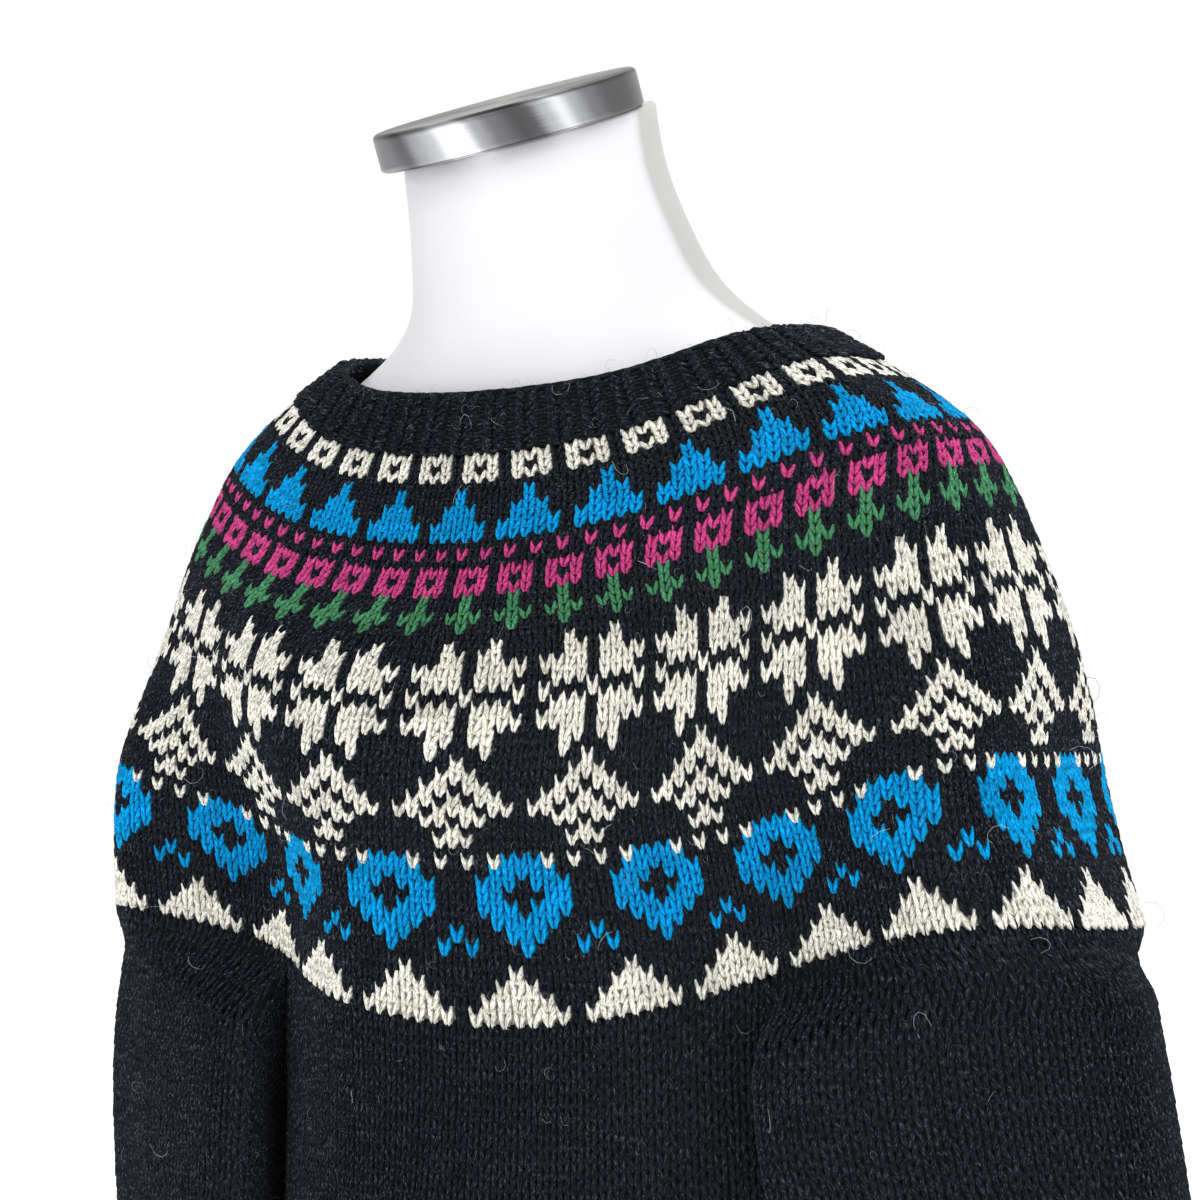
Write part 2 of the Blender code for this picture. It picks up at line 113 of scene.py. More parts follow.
RING_COLUMNS = ("row", "yf", "zf", "x1", "y1", "z1", "x2", "y2", "z2", "x3", "y3", "z3",
                "a", "ys", "zs", "kz")
YOKE_RINGS = (
    (0.0, 10.8, 46.1, 8.2, 10.0, 47.1, 13.9, 6.8, 48.9, 21.1, 7.6, 50.4, 23.9, 1.5, 49.5, -1.5),
    (12.0, 12.0, 52.8, 7.5, 11.3, 53.2, 13.1, 8.4, 54.4, 20.0, 8.8, 56.5, 21.7, 0.9, 56.2, -1.0),
    (21.0, 14.0, 56.9, 8.1, 12.8, 57.3, 13.2, 10.1, 58.6, 19.7, 7.0, 60.3, 21.6, 0.9, 60.6, -0.5),
    (30.0, 14.0, 61.6, 8.6, 12.6, 62.4, 14.9, 9.1, 64.2, 18.8, 4.6, 65.8, 20.0, 1.4, 66.1, 0.0),
    (36.0, 12.6, 64.0, 8.5, 11.3, 64.9, 14.3, 8.1, 66.9, 17.7, 4.0, 68.6, 18.8, 1.3, 69.0, 0.2),
    (44.0, 11.4, 67.0, 7.9, 10.3, 68.0, 12.9, 7.6, 70.0, 15.8, 3.9, 71.2, 16.7, 0.9, 71.5, 0.4),
    (52.0, 10.2, 69.9, 6.7, 9.3, 70.6, 10.6, 7.1, 72.2, 12.7, 3.9, 73.4, 13.3, 0.8, 73.7, 0.5),
    (58.3, 9.4, 72.6, 5.5, 8.7, 73.0, 8.5, 6.8, 74.0, 10.1, 3.8, 74.9, 10.5, 0.5, 75.3, 0.6),
)
UNDERARM = ((13.9, -4.6, 45.2), (14.6, 0.4, 43.6), (13.9, 5.2, 45.0))
BODY_SECTIONS = (
    (50.0, 13.8, 11.0, 10.4, 2.2),
    (44.0, 14.6, 11.4, 10.8, 2.2),
    (34.0, 15.2, 12.0, 11.4, 2.2),
    (24.0, 16.0, 12.6, 12.0, 2.2),
    (13.5, 16.6, 13.0, 12.4, 2.2),
    (8.0, 16.2, 12.6, 12.0, 2.2),
)
BODY_FOLDS = 9
BODY_FOLD_DEPTH = 0.22
LEFT_SLEEVE = (
    (50.0, 19.8, 0.2, 4.9, 9.3, 6.2, 6.0),
    (44.5, 20.5, -0.3, 5.2, 10.1, 7.4, 5.8),
    (36.0, 21.8, -0.4, 5.1, 9.9, 7.2, 4.8),
    (26.0, 22.6, -0.4, 4.6, 8.4, 4.6, 3.0),
    (16.0, 22.8, -0.5, 3.6, 6.6, 2.0, 1.4),
    (9.6, 23.3, -0.6, 3.0, 5.2, 0.7, 0.5),
    (4.2, 23.5, -0.6, 2.5, 4.3, 0.2, 0.2),
)
RIGHT_SLEEVE = (
    (50.0, 19.9, 0.2, 5.0, 9.3, 6.2, 6.0),
    (44.5, 20.4, -0.4, 5.0, 10.0, 7.2, 5.6),
    (36.0, 20.6, -0.3, 4.9, 9.7, 6.6, 4.6),
    (26.0, 21.2, -0.2, 4.4, 8.4, 4.4, 3.0),
    (16.0, 21.8, -0.4, 3.5, 6.6, 2.0, 1.4),
    (9.6, 22.3, -0.5, 3.0, 5.2, 0.7, 0.5),
    (4.2, 22.5, -0.5, 2.5, 4.3, 0.2, 0.2),
)
SLEEVE_FOLDS = 4
SLEEVE_FOLD_DEPTH = 0.30
FORM_SECTIONS = (
    (0.0, 0.0, 14.6, 10.4, 10.4, 2.2, 0.0, 0.0),
    (6.0, 0.0, 14.9, 10.6, 10.6, 2.2, 0.0, 0.0),
    (16.0, 0.0, 15.0, 10.5, 10.6, 2.2, 0.0, 0.0),
    (28.0, 0.0, 12.9, 9.3, 9.2, 2.2, 0.0, 0.0),
    (38.0, 0.0, 12.6, 9.4, 8.8, 2.2, 0.0, 0.0),
    (46.0, 0.0, 12.9, 9.8, 8.7, 2.2, 0.0, 0.0),
    (54.0, 0.0, 14.6, 10.6, 8.9, 2.1, 0.0, 0.0),
    (60.0, 0.0, 17.9, 9.8, 8.6, 2.0, 0.0, 0.0),
    (64.5, 0.0, 19.3, 8.4, 8.2, 2.0, 0.0, 0.0),
    (67.6, 0.1, 18.85, 7.7, 7.7, 2.0, 0.0, 0.0),
    (70.0, 0.2, 17.55, 8.0, 7.5, 2.0, 0.0, 0.0),
    (72.0, 0.3, 14.6, 8.7, 7.4, 2.0, 0.02, 0.0),
    (74.4, 0.3, 10.55, 8.55, 7.1, 2.0, 0.06, 0.0),
    (76.6, -1.2, 7.45, 7.35, 6.8, 2.0, 0.12, 0.02),
    (79.0, -2.75, 6.3, 6.2, 6.1, 2.0, 0.19, 0.05),
    (81.6, -3.95, 5.7, 5.8, 5.8, 2.0, 0.26, 0.08),
    (84.02, -4.55, 5.6, 5.6, 5.6, 2.0, 0.30, 0.10),
)
CAP_Y = -6.0
CAP_Z = 83.78
CAP_RADIUS = 5.8
CAP_THICK = 1.68
CAP_TILT = 0.30
CAP_LEAN = 0.10
CAP_ROUND = 0.25

# Knitting charts, lowest row first: rows from, stitches round, first stitch, rows of the repeat
CHARTS = (
    (0, 200, -1, ("WWWWWWW.", ".WWWWW..", "..WWW...", "...W....")),
    (5, 200, -1, ("B...B...B.", "...BBB...B", "..BBBBB...", ".BBB.BBB..", ".BB...BB..",
                  ".BBB.BBB..", "..BBBBB...", "W.WBBBW.W.")),
    (14, 200, 4, ("...WWW....", "....W.....", "..WW.WW...", "WW.WWW.WW.", ".WW.W.WW..",
                  "..WW.WW...", "...WWW....", "....W.....",
                  "..W...W...", "..WW.WW...", "WWWW.WWWW.", ".WWW.WWW..", "W...W...W.",
                  ".WWW.WWW..", "WWWW.WWWW.", "..WW.WW...", "..W...W...")),
    (32, 176, 4, (".G..", "GGG.", ".G..", ".G..", "PPP.", "P.P.", "PPP.")),
    (40, 156, 0, ("P.",)),
    (42, 156, -1, ("BBBBB.", "BBBBB.", ".BBB..", ".BBB..", "..B...", "..B...")),
    (49, 136, 4, ("WWW.", "W.W.", "WWW.")),
)
# Stitches round the yoke from each row upwards
BANDS = ((0, 200), (31, 176), (39, 156), (48, 136), (YOKE_ROWS, 136))

# How far the stitch columns drift round the yoke: parts of the way round, by row and by place
DRIFT_PLACES = (-0.5, -0.3, -0.13, -0.06, 0.0, 0.05, 0.12, 0.2, 0.3, 0.5)
DRIFT_ROWS = (0.0, 9.0, 14.0, 30.0, 37.0, 44.0, 52.0)
DRIFT = (
    (0.0, 0.0, -0.001, -0.004, 0.001, 0.006, -0.004, -0.006, -0.003, 0.0),
    (0.0, 0.0, 0.004, 0.000, 0.003, 0.005, -0.006, -0.007, -0.003, 0.0),
    (0.0, 0.0, 0.005, 0.002, 0.007, 0.007, -0.005, -0.006, -0.003, 0.0),
    (0.010, 0.010, 0.014, 0.020, 0.026, 0.024, 0.012, 0.006, 0.008, 0.010),
    (0.015, 0.018, 0.028, 0.0295, 0.023, 0.021, 0.017, 0.021, 0.020, 0.015),
    (0.020, 0.024, 0.031, 0.0305, 0.026, 0.0275, 0.0295, 0.037, 0.032, 0.020),
    (0.020, 0.024, 0.028, 0.026, 0.024, 0.028, 0.034, 0.043, 0.036, 0.020),
)

# The camera, fitted to the photograph's outlines: metres, millimetres of lens on a 36 mm sensor
CAMERA_PLACE = (0.6335, -1.1547, 0.6288)
CAMERA_RIGHT = (0.87735, 0.47896, -0.02910)
CAMERA_UP = (0.02865, 0.00823, 0.99956)
CAMERA_AHEAD = (-0.47898, 0.87779, 0.0065)
CAMERA_LENS = 87.73


def natural_spline(t, values, at):
    """Natural cubic spline through rows of values at t, read at the places in at."""
    t = np.asarray(t, float)
    values = np.asarray(values, float)
    at = np.atleast_1d(np.asarray(at, float))
    n = len(t)
    h = np.diff(t)
    mat = np.zeros((n, n))
    rhs = np.zeros(values.shape)
    mat[0, 0] = 1.0
    mat[-1, -1] = 1.0
    for i in range(1, n - 1):
        mat[i, i - 1] = h[i - 1]
        mat[i, i] = 2 * (h[i - 1] + h[i])
        mat[i, i + 1] = h[i]
        rhs[i] = 6 * ((values[i + 1] - values[i]) / h[i] - (values[i] - values[i - 1]) / h[i - 1])
    m = np.linalg.solve(mat, rhs)
    k = np.clip(np.searchsorted(t, at, side="right") - 1, 0, n - 2)
    a = ((t[k + 1] - at) / h[k])[:, None]
    b = ((at - t[k]) / h[k])[:, None]
    hk = (h[k] ** 2)[:, None]
    return a * values[k] + b * values[k + 1] + ((a ** 3 - a) * m[k] + (b ** 3 - b) * m[k + 1]) * hk / 6


def closed_spline(points, per=24):
    """Closed smooth curve through the points, as a dense polyline without its repeated end."""
    points = np.asarray(points, float)
    n = len(points)
    pad = 5
    t = np.arange(-pad, n + pad + 1)
    return natural_spline(t, points[t % n], np.arange(n * per) / per)


def arc_lengths(line):
    steps = np.linalg.norm(np.diff(line, axis=0), axis=1)
    return np.concatenate([[0.0], np.cumsum(steps)])


def at_lengths(line, s, wanted):
    return np.stack([np.interp(wanted, s, line[:, c]) for c in range(line.shape[1])], -1)


def closed_at(line, parts):
    """Points at the given parts of the way round a closed polyline."""
    line = np.vstack([line, line[:1]])
    s = arc_lengths(line)
    return at_lengths(line, s, (np.asarray(parts) % 1.0) * s[-1])


def even_open(line, n):
    """n + 1 points spaced evenly along an open polyline, both ends kept."""
    s = arc_lengths(line)
    return at_lengths(line, s, np.linspace(0.0, s[-1], n + 1))


def smooth(t):
    t = min(max(t, 0.0), 1.0)
    return t * t * (3 - 2 * t)


RING_T = [r[0] for r in YOKE_RINGS]
RING_V = [r[1:] for r in YOKE_RINGS]


def ring_points(row):
    """The sixteen named points of the yoke's ring at a knit row, round from the centre front."""
    r = dict(zip(RING_COLUMNS[1:], natural_spline(RING_T, RING_V, row)[0]))
    half = [
        (0.0, -r["yf"], r["zf"]),
        (r["x1"], -r["y1"], r["z1"]),
        (r["x2"], -r["y2"], r["z2"]),
        (r["x3"], -r["y3"], r["z3"]),
        (r["a"], r["ys"], r["zs"]),
        (r["x3"], r["y3"] * BACK_DEPTH + r["ys"] * 0.5, r["zs"] + 0.25 * r["kz"]),
        (r["x2"], r["y2"] * BACK_DEPTH + r["ys"] * 0.3, r["zs"] + 0.6 * r["kz"]),
        (r["x1"], r["y1"] * BACK_DEPTH, r["zs"] + 0.9 * r["kz"]),
        (0.0, r["yf"] * BACK_DEPTH, r["zs"] + r["kz"]),
    ]
    other = [(-x, y, z) for x, y, z in half[7:0:-1]]
    return np.array(half + other)


def ring_at(row, parts):
    """Points of the yoke's ring at the given parts of the way round."""
    return closed_at(closed_spline(ring_points(row)), parts)


def drift(parts, row):
    """How far the stitch columns have moved round the yoke at a row."""
    places = (np.asarray(parts) + 0.5) % 1.0 - 0.5
    table = natural_spline(DRIFT_ROWS, DRIFT, row)[0]
    return natural_spline(DRIFT_PLACES, table[:, None], places)[:, 0]


def edge_parts(front, sleeve):
    """The yoke's lower edge: parts of the front arc, the left sleeve's arc and the back arc."""
    g = CORNER_GAP
    return (np.linspace(-FRONT_CORNER + g, FRONT_CORNER - g, front + 1),
            np.linspace(FRONT_CORNER + g, BACK_CORNER - g, sleeve + 1),
            np.linspace(BACK_CORNER + g, 1 - BACK_CORNER - g, front + 1))


DROP = np.array([0.0, 0.0, SEAM])


def underarm_line(p, q, out):
    """The underarm edge of the wearer's left side from p to q, moved out in x."""
    mids = [(x + out, y, z) for x, y, z in UNDERARM]
    pts = np.array([p] + mids + [q])
    t = arc_lengths(pts)
    return natural_spline(t, pts, np.linspace(0.0, t[-1], 200))


def body_edge():
    """The body's top edge: front arc, left underarm, back arc, right underarm."""
    a, _, c = edge_parts(FRONT_STITCHES, 1)
    front = ring_at(0.0, a) - DROP
    back = ring_at(0.0, c) - DROP
    left = even_open(underarm_line(front[-1], back[0], 0.0), SIDE_STITCHES)
    right = left[::-1] * MIRROR
    return np.vstack([front[:-1], left[:-1], back[:-1], right[:-1]])


def sleeve_edge(outer_count, inner_count):
    """The wearer's left sleeve's top edge: outer arc from the front corner, then the underarm."""
    _, b, _ = edge_parts(1, outer_count)
    outer = ring_at(0.0, b) - DROP
    inner = even_open(underarm_line(outer[0], outer[-1], 0.07), inner_count)[::-1]
    return np.vstack([outer[:-1], inner[:-1]])


def section_table(rows, z):
    table = np.array(rows[::-1])
    return natural_spline(table[:, 0], table[:, 1:], np.clip(np.atleast_1d(z), table[0, 0], table[-1, 0]))


def fractions(edge):
    """How far round each column stands in plan."""
    plan = edge[:, :2]
    s = arc_lengths(np.vstack([plan, plan[:1]]))
    return s[:-1] / s[-1]


TURN = np.linspace(0.0, 2 * math.pi, 361)[:-1] - math.pi / 2


def oval(turn, wide, front, back, power):
    """Points of an oval at the given turns, with its own depth in front and behind."""
    c = np.cos(turn)
    s = np.sin(turn)
    return (wide * np.sign(c) * np.abs(c) ** (2 / power),
            np.where(s < 0, front, back) * np.sign(s) * np.abs(s) ** (2 / power))


def body_section(z, parts):
    return closed_at(np.stack(oval(TURN, *section_table(BODY_SECTIONS, z)[0]), -1), parts)


def sleeve_section(rows, z, parts):
    """Points of a sleeve's section: a bent oval leaning in round the body."""
    cx, cy, hx, hy, front, back = section_table(rows, z)[0]
    c = np.cos(TURN)
    s = np.sin(TURN)
    x = cx + hx * c - np.where(s < 0, front, back) * s ** 2
    return closed_at(np.stack([x, cy + hy * s], -1), parts)


def fold_wave(f, count, phase):
    return np.sin(2 * math.pi * count * f + phase) + 0.35 * np.sin(2 * math.pi * (2 * count + 1) * f)


def body_grid(levels):
    """Rows of points down the body, one column for each stitch's edge."""
    edge = body_edge()
    f = fractions(edge)
    f = f - f[FRONT_STITCHES // 2]
    grid = []
    for t in levels:
        z = edge[:, 2] * (1 - t) + HEM_TOP * t
        w = smooth(t / 0.3)
        sec = np.vstack([body_section(z[c], f[c]) for c in range(len(edge))])
        swell = BODY_FOLD_DEPTH * t * fold_wave((f - f[0]) % 1.0, BODY_FOLDS, 0.6)
        sec = sec * (1 + swell / np.linalg.norm(sec, axis=1))[:, None]
        grid.append(np.column_stack([edge[:, :2] * (1 - w) + sec * w, z]))
    return np.array(grid)


SLEEVE_OUT = 60
SLEEVE_IN = 30
# Where round its section a sleeve's first column stands
SLEEVE_START = 0.985


def sleeve_grid(rows, levels):
    """Rows of points down the wearer's left sleeve."""
    edge = sleeve_edge(SLEEVE_OUT, SLEEVE_IN)
    f = fractions(edge)
    grid = []
    for t in levels:
        z = edge[:, 2] * (1 - t) + CUFF_TOP * t
        w = smooth(t / 0.08)
        sec = np.vstack([sleeve_section(rows, z[c], f[c] + SLEEVE_START) for c in range(len(edge))])
        mid = section_table(rows, z)[:, :2]
        rel = sec - mid
        amp = SLEEVE_FOLD_DEPTH * math.sin(math.pi * min(t * 1.05, 1.0)) * fold_wave(f, SLEEVE_FOLDS, 1.2)
        amp = np.where(f > 0.62, 0.0, amp)
        sec = mid + rel * (1 + amp / np.linalg.norm(rel, axis=1))[:, None]
        grid.append(np.column_stack([edge[:, :2] * (1 - w) + sec * w, z]))
    return np.array(grid)


def grid_normals(grid):
    """Outward normals of a grid whose columns go round anticlockwise seen from above, rows downwards."""
    across = np.roll(grid, -1, axis=1) - np.roll(grid, 1, axis=1)
    down = np.empty_like(grid)
    down[1:-1] = grid[2:] - grid[:-2]
    down[0] = grid[1] - grid[0]
    down[-1] = grid[-1] - grid[-2]
    n = np.cross(down, across)
    return n / (np.linalg.norm(n, axis=2, keepdims=True) + 1e-12)


def wall_mesh(outer, inner):
    """Closed wall between two grids of like columns, joined along both edges."""
    ro, n = outer.shape[:2]
    ri = inner.shape[0]
    verts = np.vstack([outer.reshape(-1, 3), inner.reshape(-1, 3)])
    faces = []
    for r in range(ro - 1):
        for c in range(n):
            d = (c + 1) % n
            faces.append((r * n + c, (r + 1) * n + c, (r + 1) * n + d, r * n + d))
    base = ro * n
    for r in range(ri - 1):
        for c in range(n):
            d = (c + 1) % n
            faces.append((base + r * n + c, base + r * n + d, base + (r + 1) * n + d, base + (r + 1) * n + c))
    low_o = (ro - 1) * n
    low_i = base + (ri - 1) * n
    for c in range(n):
        d = (c + 1) % n
        faces.append((c, d, base + d, base + c))
        faces.append((low_o + c, low_i + c, low_i + d, low_o + d))
    return verts, faces


def mirrored(grid):
    """The other side's grid, its columns still going round anticlockwise."""
    return grid[:, ::-1] * MIRROR


def chart_letter(row, column, around):
    """The yarn of a stitch, a letter: W cream, B blue, G green, P pink, a dot for the ground."""
    for first, count, start, rows in CHARTS:
        if first <= row < first + len(rows) and count == around:
            line = rows[row - first]
            return line[(column - start) % len(line)]
    return "."


def stitches_around(row):
    return [n for first, n in BANDS if first <= row][-1]


def yoke_boundary(row, around):
    parts = np.arange(around) / around
    return ring_at(row, parts + drift(parts, row))


def cell_vectors(tl, tr, ll, lr):
    """Middle, across and up vectors of cells from their corners."""
    return (tl + tr + ll + lr) / 4, (tr - tl + lr - ll) / 2, (tl - ll + tr - lr) / 2


def cells(top, low):
    """The cells between two boundaries of like columns, closed all round."""
    return cell_vectors(top, np.roll(top, -1, axis=0), low, np.roll(low, -1, axis=0))


def joined(rows):
    """The cells of many rows as one table."""
    return [np.vstack(part) for part in zip(*rows)]


def turned_over(mid, across, up):
    """Cells of the other side."""
    return mid * MIRROR, -across * MIRROR, up * MIRROR


def unit(v):
    return v / np.linalg.norm(v, axis=-1, keepdims=True)


def object_from(name, verts, faces, mat, smooth_faces=True):
    mesh = bpy.data.meshes.new(name)
    mesh.from_pydata([tuple(float(c) * CM for c in v) for v in verts], [], faces)
    mesh.update()
    mesh.polygons.foreach_set("use_smooth", [smooth_faces] * len(mesh.polygons))
    mesh.materials.append(mat)
    obj = bpy.data.objects.new(name, mesh)
    bpy.context.scene.collection.objects.link(obj)
    return obj


def yarn_colours():
    """The yarn of each chart letter, from the settings."""
    yarn = bpy.context.scene.sweater_yarn
    letters = {".": yarn.ground, "W": yarn.cream, "B": yarn.blue, "G": yarn.green, "P": yarn.pink}
    return {letter: np.array(colour) for letter, colour in letters.items()}


def point_object(name, places, turns, size, rgba):
    """An object of bare points, each with its turn, size and yarn colour."""
    mesh = bpy.data.meshes.new(name)
    mesh.vertices.add(len(places))
    mesh.vertices.foreach_set("co", places.astype(np.float32).ravel())
    for label, kind, key, values in (("turn", "QUATERNION", "value", turns),
                                     ("size", "FLOAT_VECTOR", "vector", size),
                                     ("yarn", "FLOAT_COLOR", "color", rgba)):
        mesh.attributes.new(label, kind, "POINT").data.foreach_set(key, values.astype(np.float32).ravel())
    obj = bpy.data.objects.new(name, mesh)
    bpy.context.scene.collection.objects.link(obj)
    return obj


def turns_of(x, y, z, spin):
    """Quaternions of the frames with the given axes, each spun about its z."""
    turns = np.empty((len(x), 4), np.float32)
    for i in range(len(x)):
        m = Matrix((x[i], y[i], z[i])).transposed() @ Matrix.Rotation(spin[i], 3, "Z")
        turns[i] = m.to_quaternion()
    return turns


# How unevenly the stitches lie: spin in radians, size as a share, place in centimetres, shade as a share
SPIN_JITTER = 0.055
SIZE_JITTER = 0.045
PLACE_JITTER = 0.012
SHADE_JITTER = 0.06
# Grey yarn, the near-black ground most of all, shows its pale flecks fully, strongly coloured yarn hardly;
# the flecks are partly pale fibres, partly painted highlight
SATURATED_FLECKS = 0.08


def stitch_points(name, mids, across, up, colours, lift, seed, squeeze=1.0):
    """Bare points, one for each stitch; the colour's alpha says how strongly the pale flecks show, partly
    pale fibres and partly painted highlight.
    """
    n = len(mids)
    rng = np.random.RandomState(seed)
    width = np.linalg.norm(across, axis=1)
    height = np.linalg.norm(up, axis=1)
    y = up / height[:, None]
    z = unit(np.cross(across, y))
    x = np.cross(y, z)
    turns = turns_of(x, y, z, rng.normal(0.0, SPIN_JITTER, n))
    size = np.column_stack([width * squeeze, height, width]) * CM * (1 + rng.normal(0.0, SIZE_JITTER, (n, 3)))
    place = (mids + z * (lift + rng.normal(0.0, PLACE_JITTER, n))[:, None]) * CM
    place = place + x * (rng.normal(0.0, PLACE_JITTER, n) * CM)[:, None]
    tint = colours * (1 + rng.normal(0.0, SHADE_JITTER, n))[:, None]
    fleck_and_highlight_share = np.clip(1 - 12 * (colours.max(axis=1) - colours.min(axis=1)), SATURATED_FLECKS, 1.0)
    return point_object(name, place, turns, size, np.column_stack([tint, fleck_and_highlight_share]))


def feed(tree, made, inputs):
    """Gives each input of a node a plain value or the output that feeds it."""
    for key, value in dict(inputs).items():
        if isinstance(value, bpy.types.NodeSocket):
            tree.links.new(value, made.inputs[key])
        else:
            made.inputs[key].default_value = value


def node(tree, kind, inputs=(), **props):
    made = tree.nodes.new(kind)
    for key, value in props.items():
        setattr(made, key, value)
    feed(tree, made, inputs)
    return made


def number(tree, operation, *values):
    return node(tree, "ShaderNodeMath", dict(enumerate(values)), operation=operation).outputs[0]


def new_tree(name, sockets):
    """An empty Geometry Nodes tree with the named inputs, its input and its output node."""
    tree = bpy.data.node_groups.new(name, "GeometryNodeTree")
    tree.interface.new_socket("Geometry", in_out="INPUT", socket_type="NodeSocketGeometry")
    tree.interface.new_socket("Geometry", in_out="OUTPUT", socket_type="NodeSocketGeometry")
    for label, kind, value in sockets:
        made = tree.interface.new_socket(label, in_out="INPUT", socket_type=kind)
        if value is not None:
            made.default_value = value
    return tree, node(tree, "NodeGroupInput"), node(tree, "NodeGroupOutput")


def instance_on_points(tree, source, shape):
    """Puts the shape on every point with the point's own turn and size, realized."""
    turn = node(tree, "GeometryNodeInputNamedAttribute", {"Name": "turn"}, data_type="QUATERNION")
    size = node(tree, "GeometryNodeInputNamedAttribute", {"Name": "size"}, data_type="FLOAT_VECTOR")
    points = node(tree, "GeometryNodeMeshToPoints", {"Mesh": source})
    place = node(tree, "GeometryNodeInstanceOnPoints", {
        "Points": points.outputs["Points"], "Instance": shape, "Rotation": turn.outputs["Attribute"],
        "Scale": size.outputs["Attribute"]})
    real = node(tree, "GeometryNodeRealizeInstances", {"Geometry": place.outputs["Instances"]})
    return real.outputs["Geometry"]


def finish_tree(tree, geometry, material_socket, out):
    shade = node(tree, "GeometryNodeSetShadeSmooth", {"Geometry": geometry})
    paint = node(tree, "GeometryNodeSetMaterial", {
        "Geometry": shade.outputs["Geometry"], "Material": material_socket})
    feed(tree, out, {"Geometry": paint.outputs["Geometry"]})


def stitch_tree():
    """Two leaf-shaped lobes of yarn in a V, repeated on every point."""
    found = bpy.data.node_groups.get("knit_stitches")
    if found:
        return found
    tree, ins, out = new_tree("knit_stitches", (
        ("Sides", "NodeSocketInt", 3), ("Rings", "NodeSocketInt", 4),
        ("Lobe Width", "NodeSocketFloat", 0.27), ("Lobe Depth", "NodeSocketFloat", 0.21),
        ("Lobe Length", "NodeSocketFloat", 0.86), ("Spread", "NodeSocketFloat", 0.245),
        ("Lean", "NodeSocketFloat", 0.22), ("Tip", "NodeSocketFloat", 0.06),
        ("Material", "NodeSocketMaterial", None)))
    given = ins.outputs
    ball = node(tree, "GeometryNodeMeshUVSphere", {"Segments": given["Sides"], "Rings": given["Rings"]})
    uv = node(tree, "GeometryNodeStoreNamedAttribute", {
        "Geometry": ball.outputs["Mesh"], "Name": "UVMap", "Value": ball.outputs["UV Map"]},
        data_type="FLOAT2", domain="CORNER")
    ridge = node(tree, "GeometryNodeTransform", {
        "Geometry": uv.outputs["Geometry"], "Rotation": (0.0, 0.0, math.pi / 2)})
    size = node(tree, "ShaderNodeCombineXYZ", {
        "X": given["Lobe Width"], "Y": given["Lobe Depth"], "Z": given["Lobe Length"]})
    lobe = node(tree, "GeometryNodeTransform", {
        "Geometry": ridge.outputs["Geometry"], "Rotation": (math.pi / 2, 0.0, 0.0),
        "Scale": size.outputs["Vector"]})
    both = node(tree, "GeometryNodeJoinGeometry")
    tip = number(tree, "MULTIPLY", given["Tip"], -1.0)
    for side in (-1.0, 1.0):
        lean = number(tree, "MULTIPLY", given["Lean"], -side)
        turn = node(tree, "ShaderNodeCombineXYZ", {"X": tip, "Z": lean})
        away = node(tree, "ShaderNodeCombineXYZ", {"X": number(tree, "MULTIPLY", given["Spread"], side)})
        arm = node(tree, "GeometryNodeTransform", {
            "Geometry": lobe.outputs["Geometry"], "Rotation": turn.outputs["Vector"],
            "Translation": away.outputs["Vector"]})
        feed(tree, both, {"Geometry": arm.outputs["Geometry"]})
    real = instance_on_points(tree, given["Geometry"], both.outputs["Geometry"])
    finish_tree(tree, real, given["Material"], out)
    return tree


def fibre_tree():
    """One bent hair of wool, repeated on every point."""
    found = bpy.data.node_groups.get("stray_fibres")
    if found:
        return found
    tree, ins, out = new_tree("stray_fibres", (
        ("Segments", "NodeSocketInt", 3), ("Thickness", "NodeSocketFloat", 0.011),
        ("Sides", "NodeSocketInt", 3), ("Material", "NodeSocketMaterial", None)))
    given = ins.outputs
    bend = node(tree, "GeometryNodeCurvePrimitiveBezierSegment", {
        "Resolution": given["Segments"], "Start": (0.0, 0.0, 0.0), "Start Handle": (-0.1, 0.65, 0.35),
        "End Handle": (0.95, 0.75, 0.45), "End": (0.75, 0.05, 0.12)}, mode="POSITION")
    ring = node(tree, "GeometryNodeCurvePrimitiveCircle", {
        "Resolution": given["Sides"], "Radius": given["Thickness"]})
    hair = node(tree, "GeometryNodeCurveToMesh", {
        "Curve": bend.outputs["Curve"], "Profile Curve": ring.outputs["Curve"], "Fill Caps": True})
    real = instance_on_points(tree, given["Geometry"], hair.outputs["Mesh"])
    finish_tree(tree, real, given["Material"], out)
    return tree


def grow(obj, tree, values):
    """Runs a tree on an object's points and leaves the plain mesh in their place."""
    mod = obj.modifiers.new("grow", "NODES")
    mod.node_group = tree
    for item in tree.interface.items_tree:
        if item.item_type == "SOCKET" and item.in_out == "INPUT" and item.name in values:
            mod[item.identifier] = values[item.name]
    deps = bpy.context.evaluated_depsgraph_get()
    mesh = bpy.data.meshes.new_from_object(obj.evaluated_get(deps), preserve_all_data_layers=True,
                                           depsgraph=deps)
    old = obj.data
    obj.modifiers.remove(mod)
    obj.data = mesh
    mesh.name = obj.name
    bpy.data.meshes.remove(old)
    for spare in ("turn", "size"):
        if spare in mesh.attributes:
            mesh.attributes.remove(mesh.attributes[spare])
    if not len(mesh.polygons):
        raise RuntimeError(obj.name + " came out empty")
    return obj


def shader(name):
    mat = bpy.data.materials.new(name)
    mat.use_nodes = True
    tree = mat.node_tree
    return mat, tree, tree.nodes["Principled BSDF"]


def object_place(tree):
    return node(tree, "ShaderNodeTexCoord").outputs["Object"]


def scaled(tree, colour, by):
    return node(tree, "ShaderNodeVectorMath", {0: colour, "Scale": by}, operation="SCALE").outputs[0]


def vector(tree, operation, *values):
    return node(tree, "ShaderNodeVectorMath", dict(enumerate(values)), operation=operation).outputs[0]


def noise(tree, place, scale, detail=2.0, rough=0.5):
    return node(tree, "ShaderNodeTexNoise", {
        "Vector": place, "Scale": scale, "Detail": detail, "Roughness": rough}).outputs["Fac"]


